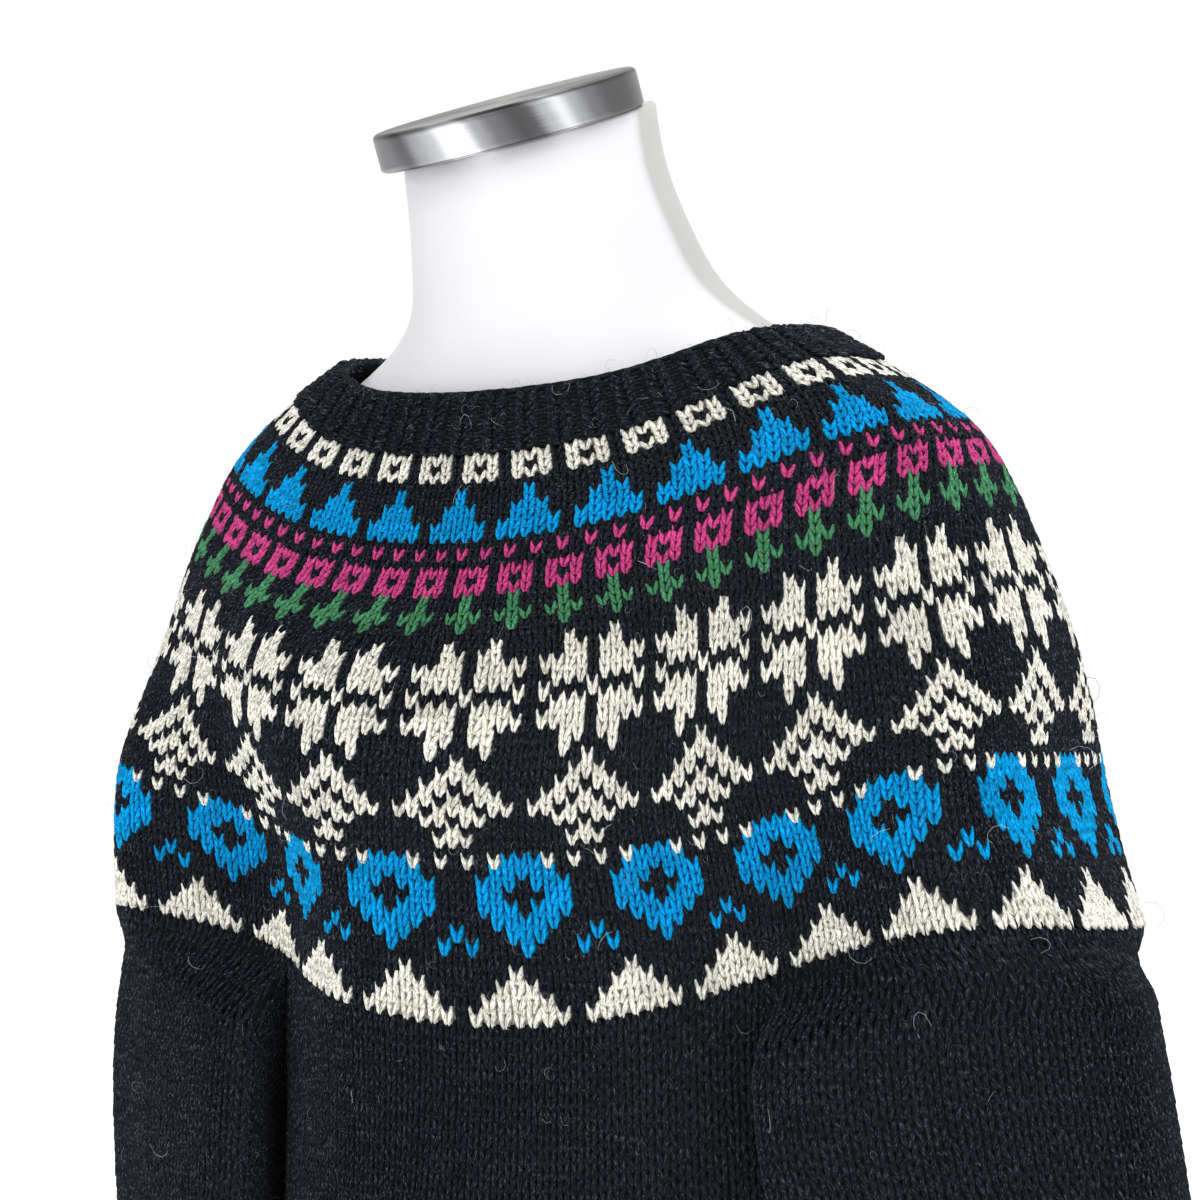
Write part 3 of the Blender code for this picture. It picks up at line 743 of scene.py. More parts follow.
def ranged(tree, source, to_low, to_high, low=0.3, high=0.7, **props):
    """A value moved from one range to another; noise stays between 0.3 and 0.7."""
    return node(tree, "ShaderNodeMapRange", {
        "Value": source, "From Min": low, "From Max": high, "To Min": to_low, "To Max": to_high},
        **props).outputs["Result"]


def bump(tree, height, strength, distance, under=None):
    inputs = {"Height": height, "Strength": strength, "Distance": distance}
    if under is not None:
        inputs["Normal"] = under
    return node(tree, "ShaderNodeBump", inputs).outputs["Normal"]


def wool_material():
    """Plied wool: per-stitch colour, twisted plies, pale flecks that are partly pale fibres and partly
    painted highlight, matt with a soft sheen.
    """
    found = bpy.data.materials.get("hand_knit_wool")
    if found:
        return found
    mat, tree, bsdf = shader("hand_knit_wool")
    colour = node(tree, "ShaderNodeAttribute", attribute_name="yarn").outputs
    place = object_place(tree)
    uv = node(tree, "ShaderNodeUVMap", uv_map="UVMap").outputs["UV"]
    spread = vector(tree, "MULTIPLY", uv, (9.0, 3.0, 1.0))
    flecks_and_highlights = noise(tree, vector(tree, "MULTIPLY_ADD", place, (260.0, 260.0, 260.0), spread), 1.6, 3.0, 0.65)
    uneven = ranged(tree, noise(tree, place, 60.0), 0.9, 1.1)
    # Partly painted shade and highlight: the colour speckled from a quarter to nearly twice its value,
    # besides the yarn's own uneven tone
    tinted = scaled(tree, colour["Color"], number(tree, "MULTIPLY", ranged(tree, flecks_and_highlights, 0.25, 1.75), uneven))
    # Partly painted highlight: pale flecks stand in for light caught by the fuzz, as well as for pale fibres
    pale_fibre_and_highlight = ranged(tree, flecks_and_highlights, 0.0, bpy.context.scene.sweater_yarn.flecks_and_highlights, 0.55, 0.72)
    share = number(tree, "MULTIPLY", pale_fibre_and_highlight, colour["Alpha"])
    # Two plies wound round each lobe
    split = node(tree, "ShaderNodeSeparateXYZ", {0: uv}).outputs
    along = number(tree, "MULTIPLY_ADD", split["Y"], 3.2, number(tree, "MULTIPLY", split["X"], 2.0))
    plies = number(tree, "SINE", number(tree, "MULTIPLY", along, 2 * math.pi))
    feed(tree, bsdf, {
        "Base Color": vector(tree, "MULTIPLY_ADD", share, (0.30, 0.32, 0.36), tinted),
        "Normal": bump(tree, flecks_and_highlights, 0.5, 0.0003, bump(tree, plies, 0.55, 0.00035)),
        "Roughness": 0.92, "Specular IOR Level": 0.06, "Sheen Weight": 0.025, "Sheen Roughness": 0.5})
    return mat


def ground_material():
    """The dark inside of the cloth between the stitches: the same yarns in shade, with row ridges."""
    found = bpy.data.materials.get("wool_ground")
    if found:
        return found
    mat, tree, bsdf = shader("wool_ground")
    colour = node(tree, "ShaderNodeAttribute", attribute_name="yarn").outputs["Color"]
    ridges = node(tree, "ShaderNodeTexWave", {
        "Vector": object_place(tree), "Scale": 56.0, "Distortion": 3.0, "Detail": 2.0, "Detail Scale": 3.0},
        wave_type="BANDS", bands_direction="Z").outputs["Fac"]
    # Painted shade: the yarn's colour is darker in the grooves between the row ridges
    feed(tree, bsdf, {
        "Base Color": scaled(tree, colour, ranged(tree, ridges, 0.6, 1.1, 0.0, 1.0)),
        "Normal": bump(tree, ridges, 0.6, 0.001), "Roughness": 0.95, "Specular IOR Level": 0.15})
    return mat


def fibre_material():
    found = bpy.data.materials.get("stray_wool_hair")
    if found:
        return found
    mat, tree, bsdf = shader("stray_wool_hair")
    colour = node(tree, "ShaderNodeAttribute", attribute_name="yarn").outputs["Color"]
    shade = ranged(tree, noise(tree, object_place(tree), 400.0), 0.8, 1.15)
    feed(tree, bsdf, {"Base Color": scaled(tree, colour, shade), "Roughness": 0.7})
    return mat


def form_material():
    """Satin white moulded shell; a darker strip of painted shade behind its side parting line."""
    mat, tree, bsdf = shader("form_satin_white")
    tone = node(tree, "ShaderNodeAttribute", attribute_name="tone").outputs["Fac"]
    place = object_place(tree)
    # Painted shade: behind the parting the white is mixed towards grey
    mixed = node(tree, "ShaderNodeMix", {
        "Factor": tone, 6: (*bpy.context.scene.sweater_form.colour, 1.0), 7: (0.545, 0.54, 0.53, 1.0)},
        data_type="RGBA").outputs[2]
    feed(tree, bsdf, {
        "Base Color": scaled(tree, mixed, ranged(tree, noise(tree, place, 25.0, 4.0), 0.985, 1.015)),
        "Normal": bump(tree, noise(tree, place, 1800.0, 1.0), 0.08, 0.0002), "Roughness": 0.42})
    return mat


# Painted reflections of the studio in the steel round the cap: place round it, brightness
RIM_PAINTED_REFLECTIONS = (
    (0.0, 0.12), (0.06, 0.20), (0.12, 0.70), (0.18, 0.32), (0.30, 0.24), (0.38, 0.85), (0.46, 0.32),
    (0.56, 0.30), (0.650, 0.32), (0.690, 0.16), (0.712, 0.38), (0.735, 0.52), (0.756, 1.0), (0.776, 0.95),
    (0.794, 0.36), (0.815, 0.17), (0.843, 0.09), (0.857, 0.11), (0.876, 0.45), (0.894, 0.80), (0.912, 0.42),
    (0.935, 0.22), (0.965, 0.13), (1.0, 0.12))


def steel_material(name, tint, rough, painted_reflections):
    """Steel brushed round the cap: fine streaks along the map's first direction. Given a table, painted
    reflections of the studio as bands in its colour round the rim, darker over its rounded upper edge.
    """
    mat, tree, bsdf = shader(name)
    uv = node(tree, "ShaderNodeUVMap", uv_map="UVMap").outputs["UV"]
    stretch = node(tree, "ShaderNodeMapping", {"Vector": uv, "Scale": (3.0, 160.0, 1.0)}).outputs["Vector"]
    streaks = noise(tree, stretch, 4.0, 5.0, 0.7)
    strength = 0.13 if painted_reflections else 0.04
    base = ranged(tree, streaks, 1 - strength, 1 + strength)
    if painted_reflections:
        split = node(tree, "ShaderNodeSeparateXYZ", {0: uv}).outputs
        # The streaks fray the edges of the painted reflections a little
        fray = ranged(tree, streaks, -0.012, 0.012, 0.0, 1.0)
        along = number(tree, "ADD", split["X"], number(tree, "MULTIPLY_ADD", split["Y"], 0.05, fray))
        ramp = node(tree, "ShaderNodeValToRGB", {"Fac": number(tree, "SUBTRACT", along, 0.016)})
        ramp.color_ramp.interpolation = "EASE"
        stops = ramp.color_ramp.elements
        while len(stops) < len(painted_reflections):
            stops.new(0.5)
        for stop, (place, value) in zip(stops, painted_reflections):
            stop.position = place
            stop.color = (value, value, value, 1.0)
        # Painted reflection: darker over the rim's rounded upper edge
        dim = ranged(tree, split["Y"], 1.0, 0.40, 0.46, 0.56)
        base = number(tree, "MULTIPLY", number(tree, "MULTIPLY", dim, base), ramp.outputs["Color"])
    direction = node(tree, "ShaderNodeTangent", direction_type="UV_MAP", uv_map="UVMap")
    feed(tree, bsdf, {
        "Base Color": scaled(tree, tint, base),
        "Roughness": ranged(tree, streaks, rough - 0.06, rough + 0.08),
        "Normal": bump(tree, streaks, 0.12, 0.0001), "Metallic": 1.0, "Anisotropic": 0.7,
        "Tangent": direction.outputs["Tangent"]})
    return mat


def paint_corners(obj, colours):
    """Gives every face its yarn colour in the shaded ground between the stitches."""
    mesh = obj.data
    layer = mesh.attributes.new("yarn", "FLOAT_COLOR", "CORNER")
    per_face = [p.loop_total for p in mesh.polygons]
    rgba = np.repeat(np.column_stack([colours, np.ones(len(colours))]), per_face, axis=0)
    layer.data.foreach_set("color", rgba.astype(np.float32).ravel())


def cloth(name, node_name, outer, inner, flat, area, held, rests_on, colours=None, pieces=()):
    """The thin knitted ground that carries the stitches, in a CAD solid's place."""
    verts, faces = wall_mesh(outer, inner)
    obj = object_from(name, verts, faces, ground_material())
    # Painted shade: the ground between the stitches is its yarn's colour darkened
    shades = ground_colours(len(faces)) * GROUND_PAINTED_SHADE
    if colours is not None:
        shades[:len(colours)] = colours
    paint_corners(obj, shades)
    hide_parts(node_name)
    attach(obj, "root")
    for piece in pieces:
        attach(piece, "root")
    list(pieces)
    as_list(rests_on)
    return obj


def knit(name, mids, across, up, colours, seed, rings=3, lift=None, squeeze=1.0, lean=1.0):
    """V stitches at the given cells, as one plain mesh; few rings make plainer lobes, so these are fuller."""
    yarn = bpy.context.scene.sweater_yarn
    if lift is None:
        lift = yarn.lift * 100
    obj = stitch_points(name, mids, across, up, colours, lift, seed, squeeze)
    full = 1.14 if rings < 3 else 1.0
    values = {"Sides": 3, "Rings": rings, "Lobe Width": yarn.lobe_width * full,
              "Lobe Depth": yarn.lobe_depth * full, "Lobe Length": yarn.lobe_length * full,
              "Lean": yarn.lean * lean, "Spread": yarn.spread, "Material": wool_material()}
    return grow(obj, stitch_tree(), values)


def sunk(grid, depth):
    return grid - depth * grid_normals(grid)


def ground_colours(count):
    return np.tile(yarn_colours()["."], (count, 1))


def knit_rows(rows):
    """Cells of the yoke's rows with their yarn colours from the charts."""
    table = yarn_colours()
    parts = []
    for row in rows:
        n = stitches_around(row)
        tint = np.array([table[chart_letter(row, c, n)] for c in range(n)])
        parts.append((*cells(yoke_boundary(row + 1, n), yoke_boundary(row, n)), tint))
    return joined(parts)


def make_yoke():
    lower = knit("yoke_stitches_lower", *knit_rows(range(0, YOKE_HALF)), seed=11, rings=4)
    upper = knit("yoke_stitches_upper", *knit_rows(range(YOKE_HALF, YOKE_ROWS)), seed=12, rings=4)
    around = BANDS[0][1]
    rows = list(range(YOKE_ROWS, -1, -1))
    grid = np.stack([yoke_boundary(r, around) for r in rows])
    colours = yarn_colours()
    shades = []
    for r in rows[:-1]:
        n = stitches_around(r - 1)
        for c in range(around):
            # Painted shade: each face of the ground takes its stitch's yarn, darkened
            shades.append(colours[chart_letter(r - 1, int((c + 0.5) * n / around), n)] * GROUND_PAINTED_SHADE)
    cloth("yoke", "yoke", sunk(grid, GROUND_DEPTH), sunk(grid, WALL)[::4], (1.24, 0.29), 0.30, "hung",
          ["dress_form"], np.array(shades), (lower, upper))


def rib_cells(ring, rows, ribs, per_rib, wide, place=KNIT_PLACE):
    """Cells of the raised stitch columns of a ribbed band; ring(t, parts) gives its plain surface."""
    out = []
    step = 1.0 / ribs
    for row in range(rows):
        for k in range(per_rib):
            offset = (k - (per_rib - 1) / 2) * wide
            left = (np.arange(ribs) + place + offset - wide / 2) * step
            right = left + wide * step
            high, low = (row + 1) / rows, row / rows
            out.append(cell_vectors(ring(high, left), ring(high, right), ring(low, left), ring(low, right)))
    return joined(out)


def rib_knits(name, ring, rows, ribs, seed, flip=False):
    """The two raised columns of knit stitches on every rib of a hem or cuff."""
    found = rib_cells(ring, rows, ribs, 2, 0.31)
    mid, across, up = turned_over(*found) if flip else found
    return knit(name, mid, across, up, ground_colours(len(mid)), seed=seed, lift=RIB_LIFT, squeeze=1.05)


def purls(name, ring, rows, ribs, seed, flip=False):
    """The sunk purl columns between a band's ribs: short bars lying across."""
    found = rib_cells(ring, rows, ribs, 1, PURL_WIDTH, PURL_PLACE)
    mid, across, up = turned_over(*found) if flip else found
    return knit(name, mid, -up, across, ground_colours(len(mid)), seed=seed, lift=0.0)


def ribbed_grid(plain):
    """A plain grid with rounded upright ribs raised on it."""
    turn = (np.arange(plain.shape[1]) % RIB_COLUMNS) / RIB_COLUMNS
    prof = np.clip(np.sin(2 * math.pi * (turn - 0.375)) * 0.9 + 0.5, 0.0, 1.0)
    return plain + grid_normals(plain) * (prof * RIB_SHOWN)[None, :, None]


def level_ends(outer, inner, plain):
    """Outer and inner faces with their first and last rows at the plain grid's own heights."""
    for k in (0, -1):
        outer[k, :, 2] = plain[k, :, 2]
        inner[k, :, 2] = plain[k, :, 2]
    return outer, inner


def plain_walls(grid):
    return level_ends(sunk(grid, GROUND_DEPTH), sunk(grid, WALL), grid)


def rib_walls(ring, ribs):
    """Faces of a ribbed band hanging below a piece; the inner face is plain."""
    parts = np.arange(ribs * RIB_COLUMNS) / (ribs * RIB_COLUMNS)
    plain = np.stack([ring(t, parts) for t in np.linspace(1.0, 0.0, 6)])
    outer, inner = level_ends(ribbed_grid(plain), sunk(plain, WALL), plain)
    return outer, inner[[0, -1]]


def bound_off(edge, inward):
    """Cells of the chain of leaning loops along the top edge, facing up and out."""
    after = np.roll(edge, -1, axis=0)
    along = after - edge
    rise = unit(np.cross(along, inward))
    if rise[:, 2].mean() < 0:
        rise = -rise
    face = unit(unit(-inward) * 0.55 + rise * 0.85)
    side = np.cross(unit(along), face) * 0.42
    return (edge + after) / 2 + inward * 0.5, side, along * 1.02


def make_neckband():
    low, high = YOKE_ROWS + BAND_SEAM / ROW_HEIGHT, BAND_ROWS
    columns = BAND_RIBS * RIB_COLUMNS
    plain = np.stack([ring_at(r, np.arange(columns) / columns) for r in np.linspace(high, low, 7)])

    def ring(t, parts):
        return ring_at(low + (high - 0.42 - low) * t, parts)

    mid, across, up = rib_cells(ring, 7, BAND_RIBS, 1, 0.66)
    knits = knit("neckband_stitches", mid, across, up, ground_colours(len(mid)), seed=21, rings=4,
                 lift=0.14, squeeze=1.1)
    sunken = purls("neckband_purls", ring, 7, BAND_RIBS, 24)
    n = BAND_RIBS * 2
    every = columns // n
    inward = sunk(plain, 0.16)[0][::every] - plain[0][::every]
    edge = ring_at(high, np.arange(n) / n)
    chain = knit("neckband_chain", *bound_off(edge, inward), ground_colours(n), seed=22, rings=4, lift=0.0,
                 lean=0.45)
    cloth("neckband", "neckband", ribbed_grid(plain), sunk(plain, WALL)[[0, -1]], (0.71, 0.04), 0.0275,
          "hung", ["yoke"], None, (knits, sunken, chain))


def make_body():
    grid = body_grid(np.linspace(0.0, 1.0, BODY_ROWS + 1))
    halves = []
    for name, first, last, seed in (("body_stitches_upper", 0, BODY_PLAIN, 31),
                                    ("body_stitches_lower", BODY_PLAIN, BODY_ROWS, 32)):
        mid, across, up = joined([cells(grid[r], grid[r + 1]) for r in range(first, last)])
        halves.append(knit(name, mid, across, up, ground_colours(len(mid)), seed=seed,
                           rings=2 if first else 3))
    cloth("body", "body", *plain_walls(grid[::2, ::2]), (0.92, 0.33), 0.29, "hung", ["yoke"], None, halves)
    n = HEM_RIBS * RIB_COLUMNS
    top = closed_at(grid[-1], np.arange(n) / n)

    def hem_ring(t, parts):
        narrow = 0.975 + 0.025 * t ** 1.6
        p = closed_at(top, parts) * np.array([narrow, narrow, 1.0])
        p[:, 2] = HEM_END + (HEM_TOP - SEAM - HEM_END) * t
        return p

    knits = rib_knits("hem_stitches", hem_ring, 9, HEM_RIBS, 33)
    sunken = purls("hem_purls", hem_ring, 9, HEM_RIBS, 34)
    cloth("hem_rib", "hem_rib", *rib_walls(hem_ring, HEM_RIBS), (0.95, 0.055), 0.047, "hung", ["body"], None,
          (knits, sunken))


def make_sleeve(side, rows, flip, seed):
    grid = sleeve_grid(rows, np.linspace(0.0, 1.0, SLEEVE_ROWS + 1))
    # The stitches start at the middle of the sleeve's outside, and there are fewer as it narrows
    turned = np.roll(grid, -(SLEEVE_OUT // 2), axis=1)
    cell_rows = []
    for top, low in zip(turned[:-1], turned[1:]):
        girth = arc_lengths(np.vstack([top, top[:1]]))[-1]
        n = 2 * int(round(girth / STITCH_WIDTH / 2))
        parts = np.arange(n) / n
        cell_rows.append(cells(closed_at(top, parts), closed_at(low, parts)))
    knits = []
    for name, first, last in (("upper", 0, SLEEVE_PLAIN), ("lower", SLEEVE_PLAIN, SLEEVE_ROWS)):
        found = joined(cell_rows[first:last])
        mid, across, up = turned_over(*found) if flip else found
        knits.append(knit("sleeve_stitches_" + side + "_" + name, mid, across, up, ground_colours(len(mid)),
                          seed=seed + 3 + first, rings=2 if first else 3))
    n = CUFF_RIBS * RIB_COLUMNS
    start = closed_at(grid[-1], np.arange(n) / n)

    def cuff_ring(t, parts):
        top = closed_at(start, parts)
        low = sleeve_section(rows, CUFF_END, np.asarray(parts) + SLEEVE_START)
        w = min(1.0, (1.0 - t) * 1.1)
        z = np.full(len(top), CUFF_END + (CUFF_TOP - SEAM - CUFF_END) * t)
        return np.column_stack([top[:, :2] * (1 - w) + low * w, z])

    walls = (*plain_walls(grid[::2]), *rib_walls(cuff_ring, CUFF_RIBS))
    outer, inner, cuff_out, cuff_in = (mirrored(wall) for wall in walls) if flip else walls
    cuff_knits = rib_knits("cuff_stitches_" + side, cuff_ring, 10, CUFF_RIBS, seed + 1, flip)
    sunken = purls("cuff_purls_" + side, cuff_ring, 10, CUFF_RIBS, seed + 2, flip)
    cloth("sleeve_" + side, "sleeve_" + side, outer, inner, (0.50, 0.41), 0.158, "hung", ["yoke"], None,
          knits)
    cloth("cuff_" + side, "cuff_" + side, cuff_out, cuff_in, (0.27, 0.06), 0.0155, "hung",
          ["sleeve_" + side], None, (cuff_knits, sunken))


def form_ring(z, cy, ax, yf, yb, n, tilt, lean, count):
    x, y = oval(np.linspace(0.0, 2 * math.pi, count + 1)[:-1] - math.pi / 2, ax, yf, yb, n)
    return np.stack([x, cy + y * math.cos(tilt), z + y * math.sin(tilt) + x * math.sin(lean)], -1)


def capped_mesh(rings):
    """Solid from rings, bottom first, closed with a point at each end's middle."""
    k, n = rings.shape[:2]
    verts = np.vstack([rings.reshape(-1, 3), rings[0].mean(axis=0)[None], rings[-1].mean(axis=0)[None]])
    faces = []
    for r in range(k - 1):
        for c in range(n):
            d = (c + 1) % n
            faces.append((r * n + c, r * n + d, (r + 1) * n + d, (r + 1) * n + c))
    low = k * n
    for c in range(n):
        d = (c + 1) % n
        faces.append((low, d, c))
        faces.append((low + 1, (k - 1) * n + c, (k - 1) * n + d))
    return verts, faces


# The moulded parting line down both sides: parts of the way round from the front, and its groove
PARTING = 0.229
GROOVE_WIDTH = 0.006
GROOVE_DEPTH = 0.05
TOP_EDGE = 0.12


def make_form():
    t = [r[0] for r in FORM_SECTIONS]
    v = [r[1:] for r in FORM_SECTIONS]
    count = bpy.context.scene.sweater_form.columns
    heights = np.concatenate([np.linspace(0.0, 58.0, 24), np.linspace(59.0, 84.02, 40)])
    rings = np.array([form_ring(z, *natural_spline(t, v, z)[0], count) for z in heights])
    k = np.arange(count) / count
    groove = np.exp(-((k - PARTING) / GROOVE_WIDTH) ** 2) + np.exp(-((k - 1 + PARTING) / GROOVE_WIDTH) ** 2)
    rings = rings - unit(rings - rings.mean(axis=1, keepdims=True)) * (GROOVE_DEPTH * groove)[None, :, None]
    z, cy, *halves, n, tilt, lean = FORM_SECTIONS[-1]
    top = form_ring(z + 0.16, cy, *(half - TOP_EDGE for half in halves), n, tilt, lean, count)
    rings = np.concatenate([rings, top[None]])
    obj = object_from("dress_form", *capped_mesh(rings), form_material())
    tone = obj.data.attributes.new("tone", "FLOAT", "POINT")
    # Painted shade: full just behind each parting line, fading to a fifth towards the back
    past = np.minimum(k, 1 - k) - PARTING
    behind = np.clip(past / 0.012, 0.0, 1.0) * (1 - 0.8 * np.clip((past - 0.09) / 0.08, 0.0, 1.0))
    shown = np.concatenate([np.tile(behind, len(rings)), [0.0, 0.0]])
    tone.data.foreach_set("value", shown.astype(np.float32))
    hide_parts("dress_form")
    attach(obj, "root")


def make_cap():
    """Steel disc standing on the form's neck, with its rounded upper edge and its map for the brushing."""
    u = np.array([0.0, math.cos(CAP_TILT), math.sin(CAP_TILT)])
    x = np.array([math.cos(CAP_LEAN), 0.0, math.sin(CAP_LEAN)])
    up = unit(np.cross(x, u))
    count = 160
    w = np.linspace(0.0, 2 * math.pi, count + 1)[:-1]
    around = np.cos(w)[:, None] * x + np.sin(w)[:, None] * u
    flat = CAP_RADIUS - 0.6
    profile = [(flat, 0.0), (CAP_RADIUS - 0.12, 0.0), (CAP_RADIUS, 0.10)]
    profile += [(CAP_RADIUS, h) for h in np.linspace(0.25, CAP_THICK - CAP_ROUND * 1.3, 4)]
    profile += [(CAP_RADIUS - CAP_ROUND * (1 - math.cos(a)), CAP_THICK - CAP_ROUND * (1 - math.sin(a)))
                for a in np.linspace(0.0, math.pi / 2, 7)]
    profile += [(flat, CAP_THICK - 0.015), (CAP_RADIUS * 0.5, CAP_THICK - 0.02)]
    base = np.array([0.0, CAP_Y, CAP_Z])
    rings = np.array([base + radius * around + up * h for radius, h in profile])
    obj = object_from("neck_cap", *capped_mesh(rings),
                      steel_material("steel_brushed_rim", (0.96, 0.97, 1.0), 0.30, RIM_PAINTED_REFLECTIONS))
    mesh = obj.data
    mesh.materials.append(steel_material("steel_brushed_top", (0.222, 0.219, 0.210), 0.42, ()))
    uv = mesh.uv_layers.new(name="UVMap")
    levels = len(rings)
    for poly in mesh.polygons:
        on_rings = [v for v in poly.vertices if v < count * levels]
        if min(on_rings) // count >= levels - 3:
            poly.material_index = 1
        columns = [v % count for v in on_rings]
        wrap = max(columns) - min(columns) > count // 2
        for loop in poly.loop_indices:
            vert = mesh.loops[loop].vertex_index
            if vert >= count * levels:
                uv.data[loop].uv = ((min(columns) + 0.5) / count, 1.0 if vert % 2 else 0.0)
                continue
            c = count if wrap and vert % count == 0 else vert % count
            uv.data[loop].uv = (c / count, (vert // count) / levels)
    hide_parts("neck_cap")
    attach(obj, "root")


def fibres(name, places, normals, tints, long, rng, segments, thin):
    """Hairs at the given places, each leaning its own way."""
    n = len(places)
    side = rng.normal(size=(n, 3))
    side = unit(side - (side * normals).sum(1)[:, None] * normals)
    turns = turns_of(side, np.cross(normals, side), normals, np.zeros(n))
    size = np.column_stack([long * rng.uniform(0.5, 1.2, n), long, long * rng.uniform(0.2, 0.8, n)])
    obj = point_object(name, places, turns, size, np.column_stack([tints, np.ones(n)]))
    grow(obj, fibre_tree(), {"Material": fibre_material(), "Segments": segments,
                             "Thickness": bpy.context.scene.sweater_yarn.fibre_thickness * thin})
    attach(obj, "root")


# How thickly the loose hairs stand on a piece, against the plain cloth
FUZZ = (("neckband_chain", 60.0), ("neckband_stitches", 14.0), ("yoke_stitches", 2.4), ("upper", 1.6),
        ("stitches", 0.7))
# Painted highlight: hairs drawn pale grey as if lit; the dark hairs keep near the yarn's own colour
PAINTED_LIT_HAIR = np.array((0.62, 0.64, 0.68))
DARK_HAIR = np.array((0.05, 0.055, 0.068))
# Hairs longer than this, in metres, are drawn finer and with more segments
STRAY_LENGTH = 0.0045


def make_fibres():
    """Loose hairs of wool standing off the cloth: short fuzz and a few long strays."""
    yarn = bpy.context.scene.sweater_yarn
    rng = np.random.RandomState(77)
    cream = np.array(yarn.cream) * 0.8
    places, normals, tints, lengths = [], [], [], []
    for obj in list(bpy.context.scene.objects):
        share = [v for key, v in FUZZ if key in obj.name]
        if not share:
            continue
        mesh = obj.data
        count = int(len(mesh.polygons) * yarn.fibre_share * share[0])
        dark_share = 0.88 if "neckband" in obj.name else 0.45
        stray_share = 0.05 if 1.0 < share[0] < 4.0 else 0.012
        for i in rng.randint(0, len(mesh.polygons), count):
            poly = mesh.polygons[i]
            places.append(tuple(poly.center))
            normals.append(tuple(poly.normal))
            pick = rng.rand()
            kind = rng.rand()
            if kind < stray_share:
                lengths.append(rng.uniform(0.006, 0.017))
            elif kind < 0.84:
                lengths.append(rng.gamma(2.0, 0.0010) + 0.0014)
            else:
                lengths.append(rng.gamma(2.0, 0.0013) + 0.003)
            # Painted highlight: three in five long strays, and a share of the rest, take the pale lit colour
            lit = lengths[-1] > 0.006 and rng.rand() < 0.6
            if lit or dark_share <= pick <= 0.95:
                tints.append(PAINTED_LIT_HAIR)
            else:
                tints.append(DARK_HAIR if pick < dark_share else cream)
    places, normals, tints, lengths = (np.array(v) for v in (places, normals, tints, lengths))
    for name, some, segments, thin in (("wool_fuzz", lengths <= STRAY_LENGTH, 2, 1.0),
                                       ("wool_strays", lengths > STRAY_LENGTH, 5, 0.60)):
        fibres(name, places[some], normals[some], tints[some], lengths[some], rng, segments, thin)


def area_light(name, place, target, size, power):
    data = bpy.data.lights.new(name, "AREA")
    data.shape = "RECTANGLE"
    data.size, data.size_y = size
    data.energy = power
    obj = bpy.data.objects.new(name, data)
    ahead = Vector([t - p for t, p in zip(target, place)]).normalized()
    obj.matrix_world = ahead.to_track_quat("-Z", "Y").to_matrix().to_4x4()
    obj.location = place
    bpy.context.scene.collection.objects.link(obj)


def studio_world(strength):
    """White surround, a little darker overhead and on the wearer's right, away from the windows."""
    world = bpy.data.worlds.new("studio")
    world.use_nodes = True
    tree = world.node_tree
    aim = node(tree, "ShaderNodeTexCoord").outputs["Generated"]
    height = node(tree, "ShaderNodeSeparateXYZ", {0: aim}).outputs["Z"]
    high = ranged(tree, height, strength, strength * 0.95, 0.24, 0.45, interpolation_type="SMOOTHSTEP")
    aside = node(tree, "ShaderNodeVectorMath", {0: aim, 1: (-0.94, -0.34, 0.0)}, operation="DOT_PRODUCT")
    dim = ranged(tree, aside.outputs["Value"], 1.0, 0.6, 0.45, 0.9, interpolation_type="SMOOTHSTEP")
    feed(tree, tree.nodes["Background"], {
        "Strength": number(tree, "MULTIPLY", high, dim), "Color": (1.0, 1.0, 1.0, 1.0)})
    return world


def make_stage():
    stage = bpy.context.scene.sweater_stage
    scene = bpy.context.scene
    data = bpy.data.cameras.new("camera")
    data.sensor_fit = "HORIZONTAL"
    data.sensor_width = 36.0
    data.lens = CAMERA_LENS
    data.clip_end = 50.0
    camera = bpy.data.objects.new("camera", data)
    back = [-c for c in CAMERA_AHEAD]
    turn = Matrix((CAMERA_RIGHT, CAMERA_UP, back)).transposed().to_quaternion().to_matrix().to_4x4()
    camera.matrix_world = Matrix.Translation(CAMERA_PLACE) @ turn
    scene.collection.objects.link(camera)
    scene.camera = camera
    mat, tree, bsdf = shader("pale_floor")
    feed(tree, bsdf, {
        "Base Color": ranged(tree, noise(tree, object_place(tree), 2.0), 0.90, 0.93, 0.0, 1.0),
        "Roughness": 0.8, "Emission Color": (1.0, 1.0, 1.0, 1.0), "Emission Strength": stage.floor_glow})
    half = stage.floor_size / CM / 2
    corners = [(x * half, y * half, 0.0) for x, y in ((-1, -1), (1, -1), (1, 1), (-1, 1))]
    floor = object_from("floor", corners, [(0, 1, 2, 3)], mat, False)
    scene.world = studio_world(stage.surround)
    area_light("key", (0.5, -2.4, 1.9), (0.0, 0.0, 0.6), (1.4, 1.4), stage.key_power)
    area_light("fill", (2.2, -0.9, 1.3), (0.0, 0.0, 0.6), (1.6, 1.6), stage.fill_power)
    area_light("top", (0.2, 0.6, 2.6), (0.0, 0.0, 0.7), (1.6, 1.2), stage.top_power)
    scene.view_settings.view_transform = "Standard"
    scene.view_settings.look = "None"


def colour_setting(name, description, default):
    return FloatVectorProperty(name=name, description=description, subtype="COLOR", size=3, min=0.0, max=1.0,
                               default=default)


def setting(name, description, default, low, high, **more):
    return FloatProperty(name=name, description=description, default=default, min=low, max=high, **more)


